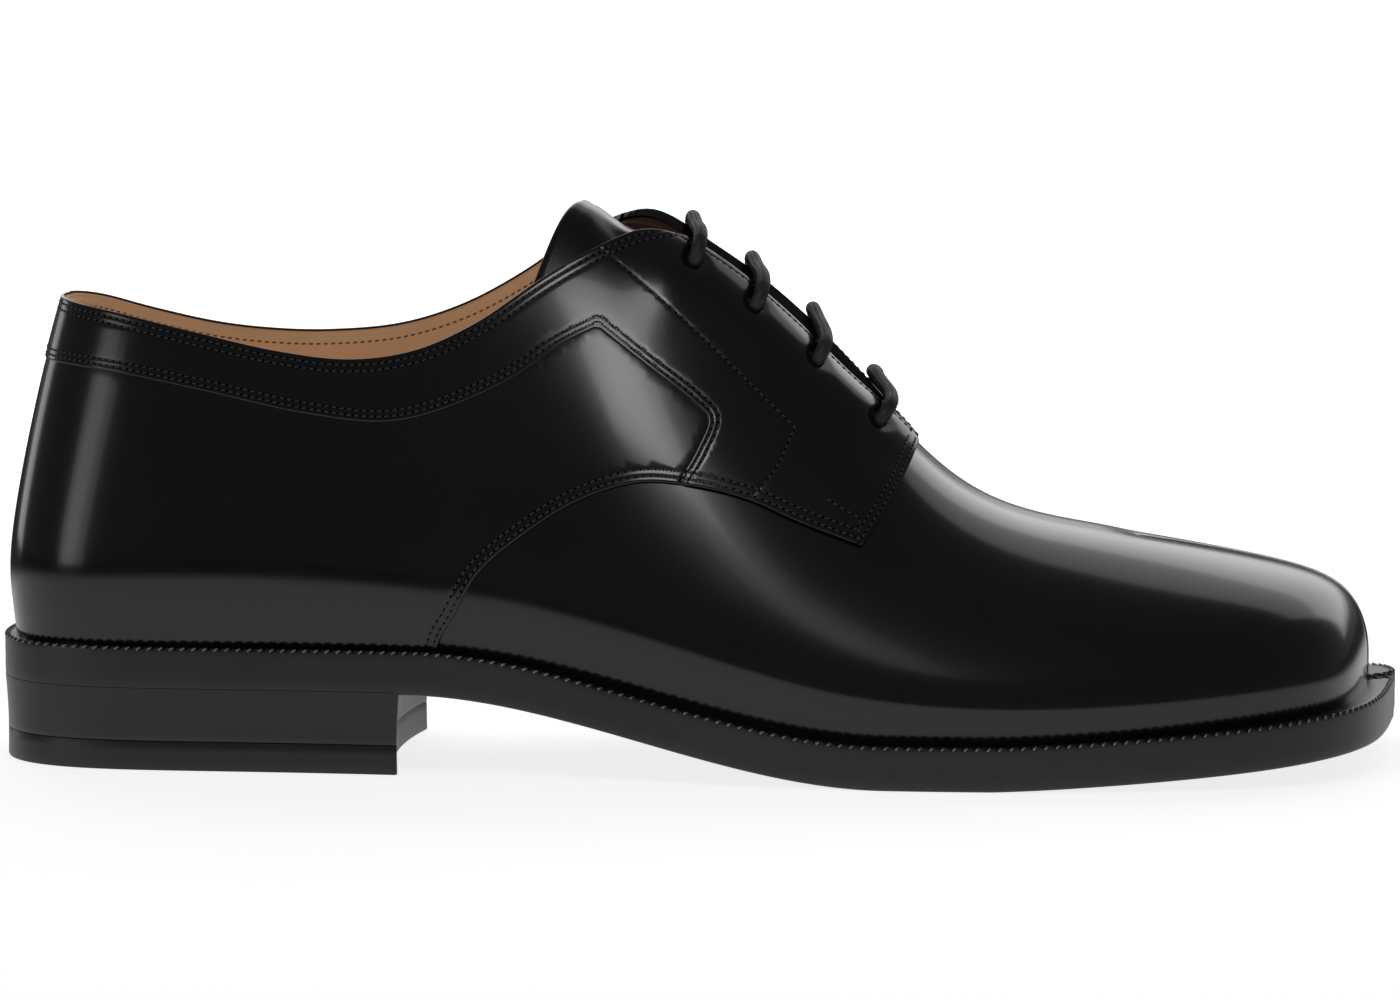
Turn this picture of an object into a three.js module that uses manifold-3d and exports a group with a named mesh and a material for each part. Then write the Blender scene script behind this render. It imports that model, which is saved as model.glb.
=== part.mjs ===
// A right-foot tabi lace-up shoe in black box calf: a derby upper with a split toe on a welted
// leather sole with a stacked heel. Millimetres, +Z up, +X to the toe, +Y to the inner (medial)
// side, with the floor at Z = 0 and the middle of the sole's box at the origin.
import * as THREE from 'three';
import { mergeVertices } from 'three/addons/utils/BufferGeometryUtils.js';
import Module from 'manifold-3d';

const wasm = await Module();
wasm.setup();

// Driving sizes of the last and the sole
const soleLength = 290;
const ballWidth = 104;
const instepHeight = 100;
const heelHeight = 16.5;
const toeSpring = 6.2;
const outsoleThickness = 5;
const weltThickness = 3.5;
const topPieceThickness = 6;
const insoleThickness = 2.6;
const weltAtToe = 5;
const weltAtSide = 4;
const weltAtHeel = 3.4;
const weltInside = 6;
const breastFromHeel = 86;
const breastHollow = 5;
const heelTaper = 1.2;

// Sizes of the upper, its openings and what lies in them
const wall = 1.6;
const quarterStep = 0.8;
const bandStep = 0.5;
const cleftLength = 48;
const cleftWidth = 7.4;
const cleftRound = 4;
const soleSlitWidth = 5.6;
const soleSlitLength = 44;
const facingGap = 21;
const throatCorner = 3;
const throatFromToe = 102;
const eyeletRows = 4;
const eyeletPitch = 12.46;
const firstEyeletFromThroat = 6.4;
const eyeletFromEdge = 7.5;
const eyeletNearerPerRow = 0.9;
const innerEyeletsBack = 3.5;
const eyeletHole = 5.2;
const laceDiameter = 3;
const tongueThickness = 1.8;
const tongueLength = 74;
const seatGap = 0.3;

// Positions that follow from those sizes
const heelX = -soleLength / 2;
const toeX = soleLength / 2;
const soleEdge = outsoleThickness + seatGap + weltThickness;
const throatX = toeX - throatFromToe;
const cleftRootX = toeX - weltAtToe - cleftLength;
const cleftFrontY = 0.205 * ballWidth;
const cleftRootY = 0.125 * ballWidth;

function ease(value) {
  const t = THREE.MathUtils.clamp(value, 0, 1);
  return t * t * (3 - 2 * t);
}

// Top of the welt along the shoe: level over the heel, down through the arch, flat under the
// ball and up again with the toe spring.
const archStart = 0.303;
const archEnd = 0.641;
const springStart = 0.714;
const springPower = 1.3;

function weltTop(x) {
  const share = (x - heelX) / soleLength;
  const drop = ease((share - archStart) / (archEnd - archStart));
  const rise = Math.max(0, (share - springStart) / (1 - springStart));
  return heelHeight * (1 - drop) + soleEdge + toeSpring * rise ** springPower;
}

// Sections of the last from the back seam to the toe. "at" is a share of the sole's length,
// widths out (lateral) and in (medial) are shares of the ball width, and heights over the
// welt are shares of the instep height.
const lastColumns = [
  'at', 'footOut', 'footIn', 'wideOut', 'wideIn', 'wideUp',
  'shoulderOut', 'shoulderIn', 'shoulderUp', 'ridge', 'top',
];
const lastSections = [
  [0.008, -0.019, -0.019, -0.019, -0.019, 0.20, -0.019, -0.019, 0.69, -0.019, 1.04],
  [0.017, -0.202, 0.163, -0.231, 0.192, 0.20, -0.135, 0.096, 0.68, -0.019, 1.04],
  [0.072, -0.298, 0.260, -0.346, 0.303, 0.20, -0.240, 0.202, 0.66, -0.019, 1.04],
  [0.169, -0.303, 0.264, -0.356, 0.313, 0.20, -0.269, 0.231, 0.64, -0.014, 1.04],
  [0.272, -0.317, 0.260, -0.365, 0.313, 0.19, -0.269, 0.236, 0.62, -0.010, 1.03],
  [0.369, -0.351, 0.264, -0.394, 0.322, 0.19, -0.264, 0.236, 0.64, 0.010, 0.98],
  [0.452, -0.394, 0.288, -0.433, 0.332, 0.19, -0.260, 0.245, 0.66, 0.024, 0.98],
  [0.528, -0.428, 0.337, -0.462, 0.370, 0.18, -0.264, 0.269, 0.60, 0.034, 0.905],
  [0.603, -0.457, 0.399, -0.486, 0.423, 0.145, -0.298, 0.308, 0.46, 0.043, 0.73],
  [0.686, -0.471, 0.457, -0.495, 0.474, 0.115, -0.346, 0.356, 0.325, 0.058, 0.44],
  [0.776, -0.460, 0.474, -0.479, 0.488, 0.10, -0.375, 0.399, 0.265, 0.072, 0.38],
  [0.859, -0.428, 0.462, -0.445, 0.474, 0.095, -0.356, 0.394, 0.24, 0.087, 0.325],
  [0.928, -0.370, 0.433, -0.385, 0.442, 0.09, -0.322, 0.385, 0.215, 0.096, 0.27],
  [0.971, -0.250, 0.385, -0.260, 0.392, 0.075, -0.212, 0.346, 0.16, 0.115, 0.215],
  [0.985, -0.087, 0.298, -0.091, 0.303, 0.05, -0.067, 0.279, 0.075, 0.125, 0.11],
  [0.985, 0.144, 0.144, 0.144, 0.144, 0.03, 0.144, 0.144, 0.045, 0.144, 0.06],
].map((row) => Object.fromEntries(row.map((value, index) => [lastColumns[index], value])));

const columnCount = 11;
const ridgeColumn = 5;
const sectionEnd = lastSections.length - 1;
const footBelowWelt = 1.5;
const toeSkew = 0.09;
const toeSkewStart = 0.74;
const toeSkewSpan = 0.2;
const backSpan = 0.26;
const backLean = 0.28 / instepHeight;
const backLeanFrom = 0.18 * instepHeight;
const backSwell = 0.03 * instepHeight;
const backSwellUp = 0.22 * instepHeight;
const backSwellSpread = 0.24 * instepHeight;

// One row of control points across the last, from the outer foot line over the ridge to the
// inner foot line.
function controlRow(section) {
  const x = heelX + section.at * soleLength;
  const floor = weltTop(x);
  const heights = [
    floor - footBelowWelt,
    floor + 0.45 * section.wideUp * instepHeight,
    floor + section.wideUp * instepHeight,
    floor + section.shoulderUp * instepHeight,
    floor + section.top * instepHeight,
    floor + section.top * instepHeight,
  ];
  const side = (foot, wide, shoulder) => [
    foot,
    foot + 0.7 * (wide - foot),
    wide,
    shoulder,
    section.ridge + 0.5 * (shoulder - section.ridge),
  ];
  const outer = side(section.footOut, section.wideOut, section.shoulderOut);
  const inner = side(section.footIn, section.wideIn, section.shoulderIn);
  const widths = [...outer, section.ridge, ...inner.reverse()];
  return widths.map((share, column) => {
    const fold = Math.min(column, columnCount - 1 - column);
    const y = share * ballWidth;
    const z = heights[fold];
    const up = z - weltTop(heelX);
    const skew = toeSkew * ease((section.at - toeSkewStart) / toeSkewSpan) * (y - 0.144 * ballWidth);
    const lean = backLean * Math.max(0, up - backLeanFrom) ** 2;
    const swell = backSwell * Math.exp(-(((up - backSwellUp) / backSwellSpread) ** 2));
    const back = 1 - ease(section.at / backSpan);
    return new THREE.Vector3(x + skew + back * (lean - swell), y, z);
  });
}

// The net gets a mirrored row past each end, so that both folds are smooth, and a straight
// run-out past each foot line.
function paddedNet(rows) {
  const mirrored = (row) => row.map((point, column) => row[columnCount - 1 - column].clone());
  const all = [mirrored(rows[1]), ...rows, mirrored(rows[sectionEnd - 1])];
  return all.map((row) => {
    const before = row[0].clone().multiplyScalar(2).sub(row[1]);
    const after = row[columnCount - 1].clone().multiplyScalar(2).sub(row[columnCount - 2]);
    return [before, ...row, after];
  });
}

function splineWeights(f) {
  const g = 1 - f;
  return [
    (g * g * g) / 6,
    (3 * f * f * f - 6 * f * f + 4) / 6,
    (-3 * f * f * f + 3 * f * f + 3 * f + 1) / 6,
    (f * f * f) / 6,
  ];
}

function netPoint(net, along, around) {
  const i = Math.min(Math.floor(along), net.length - 4);
  const j = Math.min(Math.floor(around), net[0].length - 4);
  const alongWeights = splineWeights(along - i);
  const aroundWeights = splineWeights(around - j);
  const point = new THREE.Vector3();
  for (let a = 0; a < 4; a += 1) {
    for (let b = 0; b < 4; b += 1) {
      point.addScaledVector(net[i + a][j + b], alongWeights[a] * aroundWeights[b]);
    }
  }
  return point;
}

// The foot line is fitted to the sole's length and ball width less the welt's margins.
function fittedNet() {
  const rows = lastSections.map(controlRow);
  const rough = paddedNet(rows);
  const box = new THREE.Box3();
  for (let along = 0; along <= sectionEnd; along += 0.05) {
    box.expandByPoint(netPoint(rough, along, 0));
    box.expandByPoint(netPoint(rough, along, columnCount - 1));
  }
  const lowX = heelX + weltAtHeel;
  const highX = toeX - weltAtToe;
  const highY = ballWidth / 2 - weltAtSide;
  const scaleX = (highX - lowX) / (box.max.x - box.min.x);
  const scaleY = (2 * highY) / (box.max.y - box.min.y);
  for (const row of rows) {
    for (const point of row) {
      point.x = lowX + (point.x - box.min.x) * scaleX;
      point.y = -highY + (point.y - box.min.y) * scaleY;
    }
  }
  return paddedNet(rows);
}
const lastNet = fittedNet();

function rawNormal(along, around) {
  const step = 0.01;
  const front = netPoint(lastNet, Math.min(along + step, sectionEnd), around);
  const back = netPoint(lastNet, Math.max(along - step, 0), around);
  const up = netPoint(lastNet, along, Math.min(around + step, columnCount - 1));
  const down = netPoint(lastNet, along, Math.max(around - step, 0));
  return up.sub(down).cross(front.sub(back)).negate().normalize();
}

// Outward normal. On the two folds both halves share the mean of their normals.
function lastNormal(along, around) {
  const margin = 0.06;
  const inside = THREE.MathUtils.clamp(along, margin, sectionEnd - margin);
  const normal = rawNormal(inside, around);
  if (inside === along) return normal;
  const other = rawNormal(inside, columnCount - 1 - around);
  const weight = 0.5 * (Math.abs(along - inside) / margin);
  return normal.multiplyScalar(1 - weight).addScaledVector(other, weight).normalize();
}

// A point of the upper's surface, raised by "level" over the last.
function onLast(along, around, level = 0) {
  return netPoint(lastNet, along, around).addScaledVector(lastNormal(along, around), level);
}

// The place on the last's top that lies over the plan point x, y.
function overPlan(x, y) {
  let along = THREE.MathUtils.mapLinear(x, heelX, toeX, 0, sectionEnd);
  let around = ridgeColumn;
  const step = 0.02;
  for (let turn = 0; turn < 14; turn += 1) {
    const here = netPoint(lastNet, along, around);
    const ahead = netPoint(lastNet, along + step, around);
    const aside = netPoint(lastNet, along, around + step);
    const a = (ahead.x - here.x) / step;
    const b = (aside.x - here.x) / step;
    const c = (ahead.y - here.y) / step;
    const d = (aside.y - here.y) / step;
    const area = a * d - b * c;
    const alongMove = ((x - here.x) * d - (y - here.y) * b) / area;
    const aroundMove = ((y - here.y) * a - (x - here.x) * c) / area;
    along = THREE.MathUtils.clamp(along + THREE.MathUtils.clamp(alongMove, -1, 1), 0.5, sectionEnd - 0.5);
    around = THREE.MathUtils.clamp(around + THREE.MathUtils.clamp(aroundMove, -0.5, 0.5), 2, 8);
  }
  return { along, around };
}

function topPoint(x, y, level) {
  const place = overPlan(x, y);
  return onLast(place.along, place.around, level);
}

// Solids from lists of points and faces
function solid(points, faces) {
  const geometry = new THREE.BufferGeometry();
  const coordinates = points.flatMap((point) => [point.x, point.y, point.z]);
  geometry.setAttribute('position', new THREE.Float32BufferAttribute(coordinates, 3));
  geometry.setIndex(faces.flat());
  const merged = mergeVertices(geometry, 1e-4);
  const place = merged.attributes.position.array;
  const index = merged.index.array;
  const kept = [];
  for (let i = 0; i < index.length; i += 3) {
    const [a, b, c] = [index[i], index[i + 1], index[i + 2]];
    if (a !== b && b !== c && c !== a) kept.push(a, b, c);
  }
  const build = (order) => new wasm.Manifold(new wasm.Mesh({
    numProp: 3,
    vertProperties: new Float32Array(place),
    triVerts: new Uint32Array(order),
  }));
  const made = build(kept);
  if (made.volume() > 0) return made;
  const turned = [];
  for (let i = 0; i < kept.length; i += 3) turned.push(kept[i], kept[i + 2], kept[i + 1]);
  return build(turned);
}

// Skin through rings with the same number of points, closed by a flat cap at each end that has
// an area.
function skin(rings) {
  const count = rings[0].length;
  const faces = [];
  for (let ring = 0; ring < rings.length - 1; ring += 1) {
    for (let k = 0; k < count; k += 1) {
      const a = ring * count + k;
      const b = ring * count + ((k + 1) % count);
      faces.push([a, b, b + count], [a, b + count, a + count]);
    }
  }
  return { points: rings.flat(), faces, count };
}

function capFaces(ring) {
  const normal = new THREE.Vector3();
  ring.forEach((point, index) => {
    const next = ring[(index + 1) % ring.length];
    normal.add(new THREE.Vector3().crossVectors(point, next));
  });
  normal.normalize();
  const side = Math.abs(normal.z) < 0.9 ? new THREE.Vector3(0, 0, 1) : new THREE.Vector3(1, 0, 0);
  const u = new THREE.Vector3().crossVectors(side, normal).normalize();
  const v = new THREE.Vector3().crossVectors(normal, u);
  const flat = ring.map((point) => new THREE.Vector2(point.dot(u), point.dot(v)));
  return THREE.ShapeUtils.triangulateShape(flat, []);
}

function loft(rings) {
  const { points, faces, count } = skin(rings);
  const last = (rings.length - 1) * count;
  for (const [a, b, c] of capFaces(rings[0])) faces.push([a, c, b]);
  for (const [a, b, c] of capFaces(rings[rings.length - 1])) faces.push([last + a, last + b, last + c]);
  return solid(points, faces);
}

function foldedLoft(rings) {
  const { points, faces } = skin(rings);
  return solid(points, faces);
}

// Reach of the cutters past the sides and the ends of the shoe
const far = 2 * ballWidth;
const pastEnd = 0.035 * soleLength;

// A side-view outline of [x, z] pairs, run across the shoe.
function acrossShoe(outline, from = -far, to = far) {
  return loft([from, to].map((y) => outline.map(([x, z]) => new THREE.Vector3(x, y, z))));
}

// A plan outline of [x, y] pairs, run straight up.
function upShoe(outline, low, high) {
  return loft([low, high].map((z) => outline.map(([x, y]) => new THREE.Vector3(x, y, z))));
}

function smoothLine(pairs, steps) {
  const places = pairs.map(([x, z]) => new THREE.Vector3(x, 0, z));
  const curve = new THREE.CatmullRomCurve3(places, false, 'centripetal');
  return curve.getPoints(steps).map((point) => [point.x, point.z]);
}

// Closed body of the last at one level
const outerRows = 42;
const outerColumns = 25;
const innerRows = 22;
const innerColumns = 19;

function lastBody(level, rowCount, ringCount) {
  const rings = [];
  for (let row = 0; row <= rowCount; row += 1) {
    const along = (sectionEnd * row) / rowCount;
    const ring = [];
    for (let k = 0; k < ringCount; k += 1) {
      ring.push(onLast(along, ((columnCount - 1) * k) / (ringCount - 1), level));
    }
    rings.push(ring);
  }
  return foldedLoft(rings);
}

// Side-view lines of the upper: x as a share of the sole's length from the heel, heights over
// the welt's heel seat as shares of the instep height.
const sideLine = (rows) => rows.map(([at, up]) => [
  heelX + at * soleLength,
  weltTop(heelX) + up * instepHeight,
]);

const collarOuter = sideLine([
  [-0.02, 0.755], [0.015, 0.722], [0.054, 0.700], [0.091, 0.683], [0.148, 0.644],
  [0.208, 0.606], [0.260, 0.590], [0.305, 0.608], [0.347, 0.661], [0.394, 0.752],
  [0.432, 0.814], [0.457, 0.842], [0.483, 0.850],
]);
const collarInner = sideLine([
  [-0.02, 0.755], [0.015, 0.722], [0.048, 0.694], [0.095, 0.650], [0.140, 0.622],
  [0.183, 0.609], [0.225, 0.607], [0.276, 0.622], [0.322, 0.665], [0.367, 0.736],
  [0.412, 0.828], [0.440, 0.873], [0.462, 0.897],
]);
const vampSeam = sideLine([
  [0.622, 0.221], [0.578, 0.269], [0.543, 0.313], [0.510, 0.338], [0.467, 0.350],
  [0.425, 0.315], [0.384, 0.241], [0.354, 0.166], [0.337, 0.079], [0.326, 0.023], [0.320, -0.12],
]);
const facingFront = sideLine([
  [0.660, 0.470], [0.653, 0.409], [0.650, 0.362], [0.640, 0.301], [0.622, 0.221],
]);
const bandUnderCollar = sideLine([
  [-0.05, 0.607], [0.037, 0.588], [0.094, 0.573], [0.156, 0.541], [0.225, 0.499],
  [0.283, 0.481], [0.316, 0.498], [0.368, 0.561], [0.407, 0.635], [0.434, 0.672],
]);
const bandDownFacing = sideLine([
  [0.434, 0.672], [0.472, 0.589], [0.507, 0.512], [0.518, 0.475], [0.510, 0.405], [0.498, 0.344],
]);
const lineSteps = 14;
const sky = weltTop(heelX) + 1.8 * instepHeight;
const wayBack = heelX - 0.2 * soleLength;

function quarterRegion() {
  const front = [...smoothLine(facingFront, 8), ...smoothLine(vampSeam, lineSteps).slice(1)];
  const [lastX] = front[front.length - 1];
  return acrossShoe([
    [facingFront[0][0], sky], ...front, [lastX, -instepHeight], [wayBack, -instepHeight], [wayBack, sky],
  ]);
}

function bandRegion() {
  const edge = [...smoothLine(bandUnderCollar, lineSteps), ...smoothLine(bandDownFacing, 8).slice(1)];
  const [lastX, lastZ] = edge[edge.length - 1];
  return acrossShoe([
    [wayBack, sky], ...edge, [lastX, lastZ - 0.1 * instepHeight],
    [throatX + 0.2 * soleLength, lastZ - 0.1 * instepHeight], [throatX + 0.2 * soleLength, sky],
  ]);
}

// The inner side's collar dips further back and rises higher at the instep than the outer side's.
function collarOpening() {
  const half = (line, from, to) => {
    const [frontX] = line[line.length - 1];
    return acrossShoe([
      [heelX - 0.1 * soleLength, sky], ...smoothLine(line, 24), [frontX + 0.006 * soleLength, sky],
    ], from, to);
  };
  return half(collarOuter, -far, throatMiddleY).add(half(collarInner, throatMiddleY, far));
}

// Throat between the two facings, a little wider at the top than at the vamp
const throatMiddleY = 0.024 * ballWidth;
const throatWidening = 0.25;
const facingSpan = 0.2 * soleLength;
const facingSpansBack = 1.5;

function facingEdgeY(x, side) {
  const up = THREE.MathUtils.clamp((throatX - x) / facingSpan, 0, facingSpansBack);
  const half = (facingGap / 2) * (1 - throatWidening + throatWidening * up);
  return throatMiddleY + side * half;
}

function throatOpening() {
  const straightX = throatX - facingSpansBack * facingSpan;
  const backX = heelX + 0.25 * soleLength;
  const edge = (side) => [throatX - throatCorner, straightX, backX].map((x) => [x, facingEdgeY(x, side)]);
  const half = facingEdgeY(throatX, 1) - throatMiddleY;
  return upShoe([
    ...edge(-1).reverse(),
    [throatX, throatMiddleY - half + throatCorner],
    [throatX, throatMiddleY + half - throatCorner],
    ...edge(1),
  ], weltTop(heelX) + 0.3 * instepHeight, sky);
}

// Everything below the welt's top and the gap over it
function belowUpper(gap) {
  const line = [];
  const steps = 48;
  for (let i = 0; i <= steps; i += 1) {
    const x = heelX - pastEnd + ((soleLength + 2 * pastEnd) * i) / steps;
    line.push([x, weltTop(x) + gap]);
  }
  return acrossShoe([[heelX - pastEnd, -instepHeight], ...line, [toeX + pastEnd, -instepHeight]]);
}

// The split between the big toe's lobe and the other toes' lobe
function cleftShare(x) {
  return (x - cleftRootX) / cleftLength;
}

function cleftY(x) {
  return cleftRootY + (cleftFrontY - cleftRootY) * cleftShare(x);
}

const rootWidthShare = 0.14;
const lipReach = 0.14 * instepHeight;
const belowLip = 2;
const rootRoundShare = 0.35;
const rootLift = 0.6;
const rootOpens = 0.1;
const lipsOpenOver = 2.2;

function cleftHalf(x, width) {
  const share = THREE.MathUtils.clamp(cleftShare(x), 0, 1.1);
  return (width / 2) * (rootWidthShare + (1 - rootWidthShare) * share);
}

// Path of the split over the vamp and down the toe's face: points with the outward direction
// and how far along the split they lie.
function cleftPath() {
  const path = [];
  const topSteps = 9;
  const lipX = toeX - weltAtToe - 0.1 * cleftLength;
  for (let i = 0; i <= topSteps; i += 1) {
    const x = cleftRootX + ((lipX - cleftRootX) * i) / topSteps;
    const place = overPlan(x, cleftY(x));
    path.push({ at: onLast(place.along, place.around), out: lastNormal(place.along, place.around) });
  }
  const bend = path[topSteps];
  const frontSteps = 8;
  const bottomZ = weltTop(toeX) - 2 * footBelowWelt;
  for (let i = 1; i <= frontSteps; i += 1) {
    const z = bend.at.z + ((bottomZ - bend.at.z) * i) / frontSteps;
    path.push(faceAt(z));
  }
  return path;
}

// The toe's front face at height z on the split's line, found along the inner half.
function faceAt(z) {
  const y = cleftFrontY;
  let best = null;
  for (let along = sectionEnd - 4; along <= sectionEnd; along += 0.05) {
    let low = ridgeColumn;
    let high = columnCount - 1;
    for (let turn = 0; turn < 24; turn += 1) {
      const middle = (low + high) / 2;
      if (netPoint(lastNet, along, middle).z > z) low = middle;
      else high = middle;
    }
    const point = netPoint(lastNet, along, low);
    const miss = Math.abs(point.y - y) + Math.abs(point.z - z);
    if (best === null || miss < best.miss) best = { miss, along, around: low, at: point };
  }
  return { at: best.at, out: lastNormal(best.along, best.around) };
}

// Cutter for the split: a slot with a rounded lip each side. "skinIn" moves its faces into the
// leather, for the hollow's own cut.
function cleftCutter(skinIn) {
  const path = cleftPath();
  const deep = cleftRound + belowLip + skinIn;
  const arcSteps = 4;
  const rings = path.map(({ at, out }) => {
    const share = THREE.MathUtils.clamp(cleftShare(at.x), 0, 1);
    const grow = ease(rootOpens + lipsOpenOver * share);
    const radius = cleftRound * (rootRoundShare + (1 - rootRoundShare) * grow);
    const half = cleftHalf(at.x, cleftWidth);
    const lift = (1 - grow) * rootLift * cleftRound;
    const arc = Math.max(radius - skinIn, 0.05);
    const middle = at.clone().addScaledVector(out, lift);
    const place = (side, up) => middle.clone()
      .add(new THREE.Vector3(0, side, 0))
      .addScaledVector(out, up);
    const right = [];
    for (let i = 0; i <= arcSteps; i += 1) {
      const angle = (Math.PI / 2) * (i / arcSteps);
      right.push([half + radius - arc * Math.cos(angle), -radius + arc * Math.sin(angle)]);
    }
    const outline = [[half + radius - arc, -deep], ...right, [half + radius, lipReach]];
    const mirrored = outline.map(([side, up]) => [-side, up]).reverse();
    return [...outline, ...mirrored].map(([side, up]) => place(side, up));
  });
  return loft(rings);
}

// Straight slot below the lips, down through the foot line, with a leaning root.
const rootLean = 7;

function cleftSlot(skinIn, width) {
  const low = weltTop(toeX) - 4 * soleEdge;
  const rings = [];
  const stations = [0, 0.12, 0.3, 0.5, 0.7, 0.85, 1, 1.3];
  for (const share of stations) {
    const x = cleftRootX + share * cleftLength;
    const half = cleftHalf(x, width) + skinIn;
    const topX = x - (share === 0 ? skinIn : 0);
    const bottomX = share === 0 ? topX + rootLean : Math.max(x, cleftRootX + rootLean + 0.5);
    const lipZ = share > 1 ? weltTop(toeX) + 0.5 * instepHeight : topSlotZ(x);
    rings.push([
      new THREE.Vector3(bottomX, cleftY(x) - half, low),
      new THREE.Vector3(bottomX, cleftY(x) + half, low),
      new THREE.Vector3(topX, cleftY(x) + half, lipZ),
      new THREE.Vector3(topX, cleftY(x) - half, lipZ),
    ]);
  }
  return loft(rings);
}

function topSlotZ(x) {
  const place = overPlan(Math.min(x, toeX - weltAtToe - 0.15 * cleftLength), cleftY(x));
  return onLast(place.along, place.around).z - 0.2 * cleftRound;
}

// Rows of eyelets, counted from the vamp up, with their pitch measured in plan
function eyeletX(row, side) {
  return throatX - firstEyeletFromThroat - row * eyeletPitch - (side > 0 ? innerEyeletsBack : 0);
}

// Plan place of an eyelet, or of a point at a distance from its row away from the throat
function besideEyelet(row, side, aside) {
  const x = eyeletX(row, side);
  const inset = eyeletFromEdge - eyeletNearerPerRow * row;
  return [x, facingEdgeY(x, side) + side * (inset + aside)];
}

function eyeletPlace(row, side) {
  return overPlan(...besideEyelet(row, side, 0));
}

function round(centre, out, radius, sides, towards) {
  const u = new THREE.Vector3().crossVectors(towards, out).normalize();
  const v = new THREE.Vector3().crossVectors(out, u);
  const ring = [];
  for (let i = 0; i < sides; i += 1) {
    const angle = (2 * Math.PI * i) / sides;
    ring.push(centre.clone()
      .addScaledVector(u, radius * Math.cos(angle))
      .addScaledVector(v, radius * Math.sin(angle)));
  }
  return ring;
}

function eyeletPunches() {
  const punches = [];
  const reach = 8;
  for (let row = 0; row < eyeletRows; row += 1) {
    for (const side of [-1, 1]) {
      const place = eyeletPlace(row, side);
      const out = lastNormal(place.along, place.around);
      const rings = [-reach, reach].map((level) => {
        const centre = onLast(place.along, place.around, level);
        return round(centre, out, eyeletHole / 2, 10, new THREE.Vector3(1, 0, 0));
      });
      punches.push(loft(rings));
    }
  }
  return punches;
}

// The upper: one hollow leather body, open at collar, throat and underneath
function makeUpper() {
  let body = lastBody(0, outerRows, outerColumns)
    .add(lastBody(quarterStep, outerRows, outerColumns).intersect(quarterRegion()))
    .add(lastBody(quarterStep + bandStep, outerRows, outerColumns)
      .intersect(bandRegion())
      .intersect(quarterRegion()));
  body = body.subtract(cleftCutter(0)).subtract(cleftSlot(0, cleftWidth));
  const hollow = lastBody(-wall, innerRows, innerColumns)
    .subtract(cleftCutter(wall))
    .subtract(cleftSlot(wall, cleftWidth));
  body = body.subtract(hollow)
    .subtract(belowUpper(seatGap))
    .subtract(collarOpening())
    .subtract(throatOpening());
  for (const punch of eyeletPunches()) body = body.subtract(punch);
  return body;
}

// Plan outline of the foot line moved outwards by margin(x), as pairs of points, outer and
// inner, from the back to the toe
const outlineSteps = 42;

function outlinePairs(margin) {
  const line = (around) => {
    const points = [];
    for (let i = 0; i <= outlineSteps; i += 1) {
      points.push(netPoint(lastNet, (sectionEnd * i) / outlineSteps, around));
    }
    return points;
  };
  const outer = line(0);
  const inner = line(columnCount - 1);
  const loop = [...outer, ...inner.slice(1, -1).reverse()];
  const moved = loop.map((point, index) => {
    const before = loop[(index + loop.length - 1) % loop.length];
    const after = loop[(index + 1) % loop.length];
    const run = new THREE.Vector2(after.x - before.x, after.y - before.y).normalize();
    const push = margin(point.x);
    return new THREE.Vector2(point.x + run.y * push, point.y - run.x * push);
  });
  const pairs = [];
  for (let i = 0; i <= outlineSteps; i += 1) {
    const across = (loop.length - i) % loop.length;
    pairs.push([moved[i], moved[across]]);
  }
  return pairs;
}

function weltMargin(x) {
  const share = (x - heelX) / soleLength;
  const towardsSide = ease((share - 0.05) / 0.5);
  const towardsToe = ease((share - 0.78) / 0.16);
  return weltAtHeel + (weltAtSide - weltAtHeel) * towardsSide + (weltAtToe - weltAtSide) * towardsToe;
}

// A layer of the sole between a lower and an upper outline, with heights that follow x
function between(lowPairs, highPairs, lowAt, highAt) {
  return foldedLoft(lowPairs.map(([outer, inner], index) => {
    const [highOuter, highInner] = highPairs[index];
    return [
      new THREE.Vector3(outer.x, outer.y, lowAt(outer.x)),
      new THREE.Vector3(inner.x, inner.y, lowAt(inner.x)),
      new THREE.Vector3(highInner.x, highInner.y, highAt(highInner.x)),
      new THREE.Vector3(highOuter.x, highOuter.y, highAt(highOuter.x)),
    ];
  }));
}

function layer(pairs, lowAt, highAt) {
  return between(pairs, pairs, lowAt, highAt);
}

// The sole's slit under the split, with rounded corners at the toe
function soleSlit() {
  const rootX = toeX - soleSlitLength;
  const corner = 0.55 * soleSlitWidth;
  const side = (sign) => {
    const points = [];
    for (const share of [0, 0.04, 0.3, 0.6, 0.85]) {
      const x = rootX + share * soleSlitLength;
      const half = (soleSlitWidth / 2) * (0.3 + 0.7 * share) * Math.min(1, 0.5 + 12 * share);
      points.push([x, cleftY(x) + sign * half]);
    }
    for (let i = 0; i <= 4; i += 1) {
      const angle = (Math.PI / 2) * (i / 4);
      const x = toeX - corner + corner * Math.sin(angle) - 0.4;
      const half = soleSlitWidth / 2 + corner * (1 - Math.cos(angle));
      points.push([x, cleftY(x) + sign * half]);
    }
    points.push([toeX + pastEnd, cleftY(toeX) + sign * (soleSlitWidth / 2 + corner)]);
    return points;
  };
  return upShoe([...side(-1), ...side(1).reverse()], -instepHeight, instepHeight);
}

function outsoleLow(x) {
  return Math.max(0, weltTop(x) - soleEdge);
}

function outsoleHigh(x) {
  return weltTop(x) - weltThickness - seatGap;
}

function makeOutsole() {
  return layer(outlinePairs(weltMargin), outsoleLow, outsoleHigh).subtract(soleSlit());
}

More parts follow.
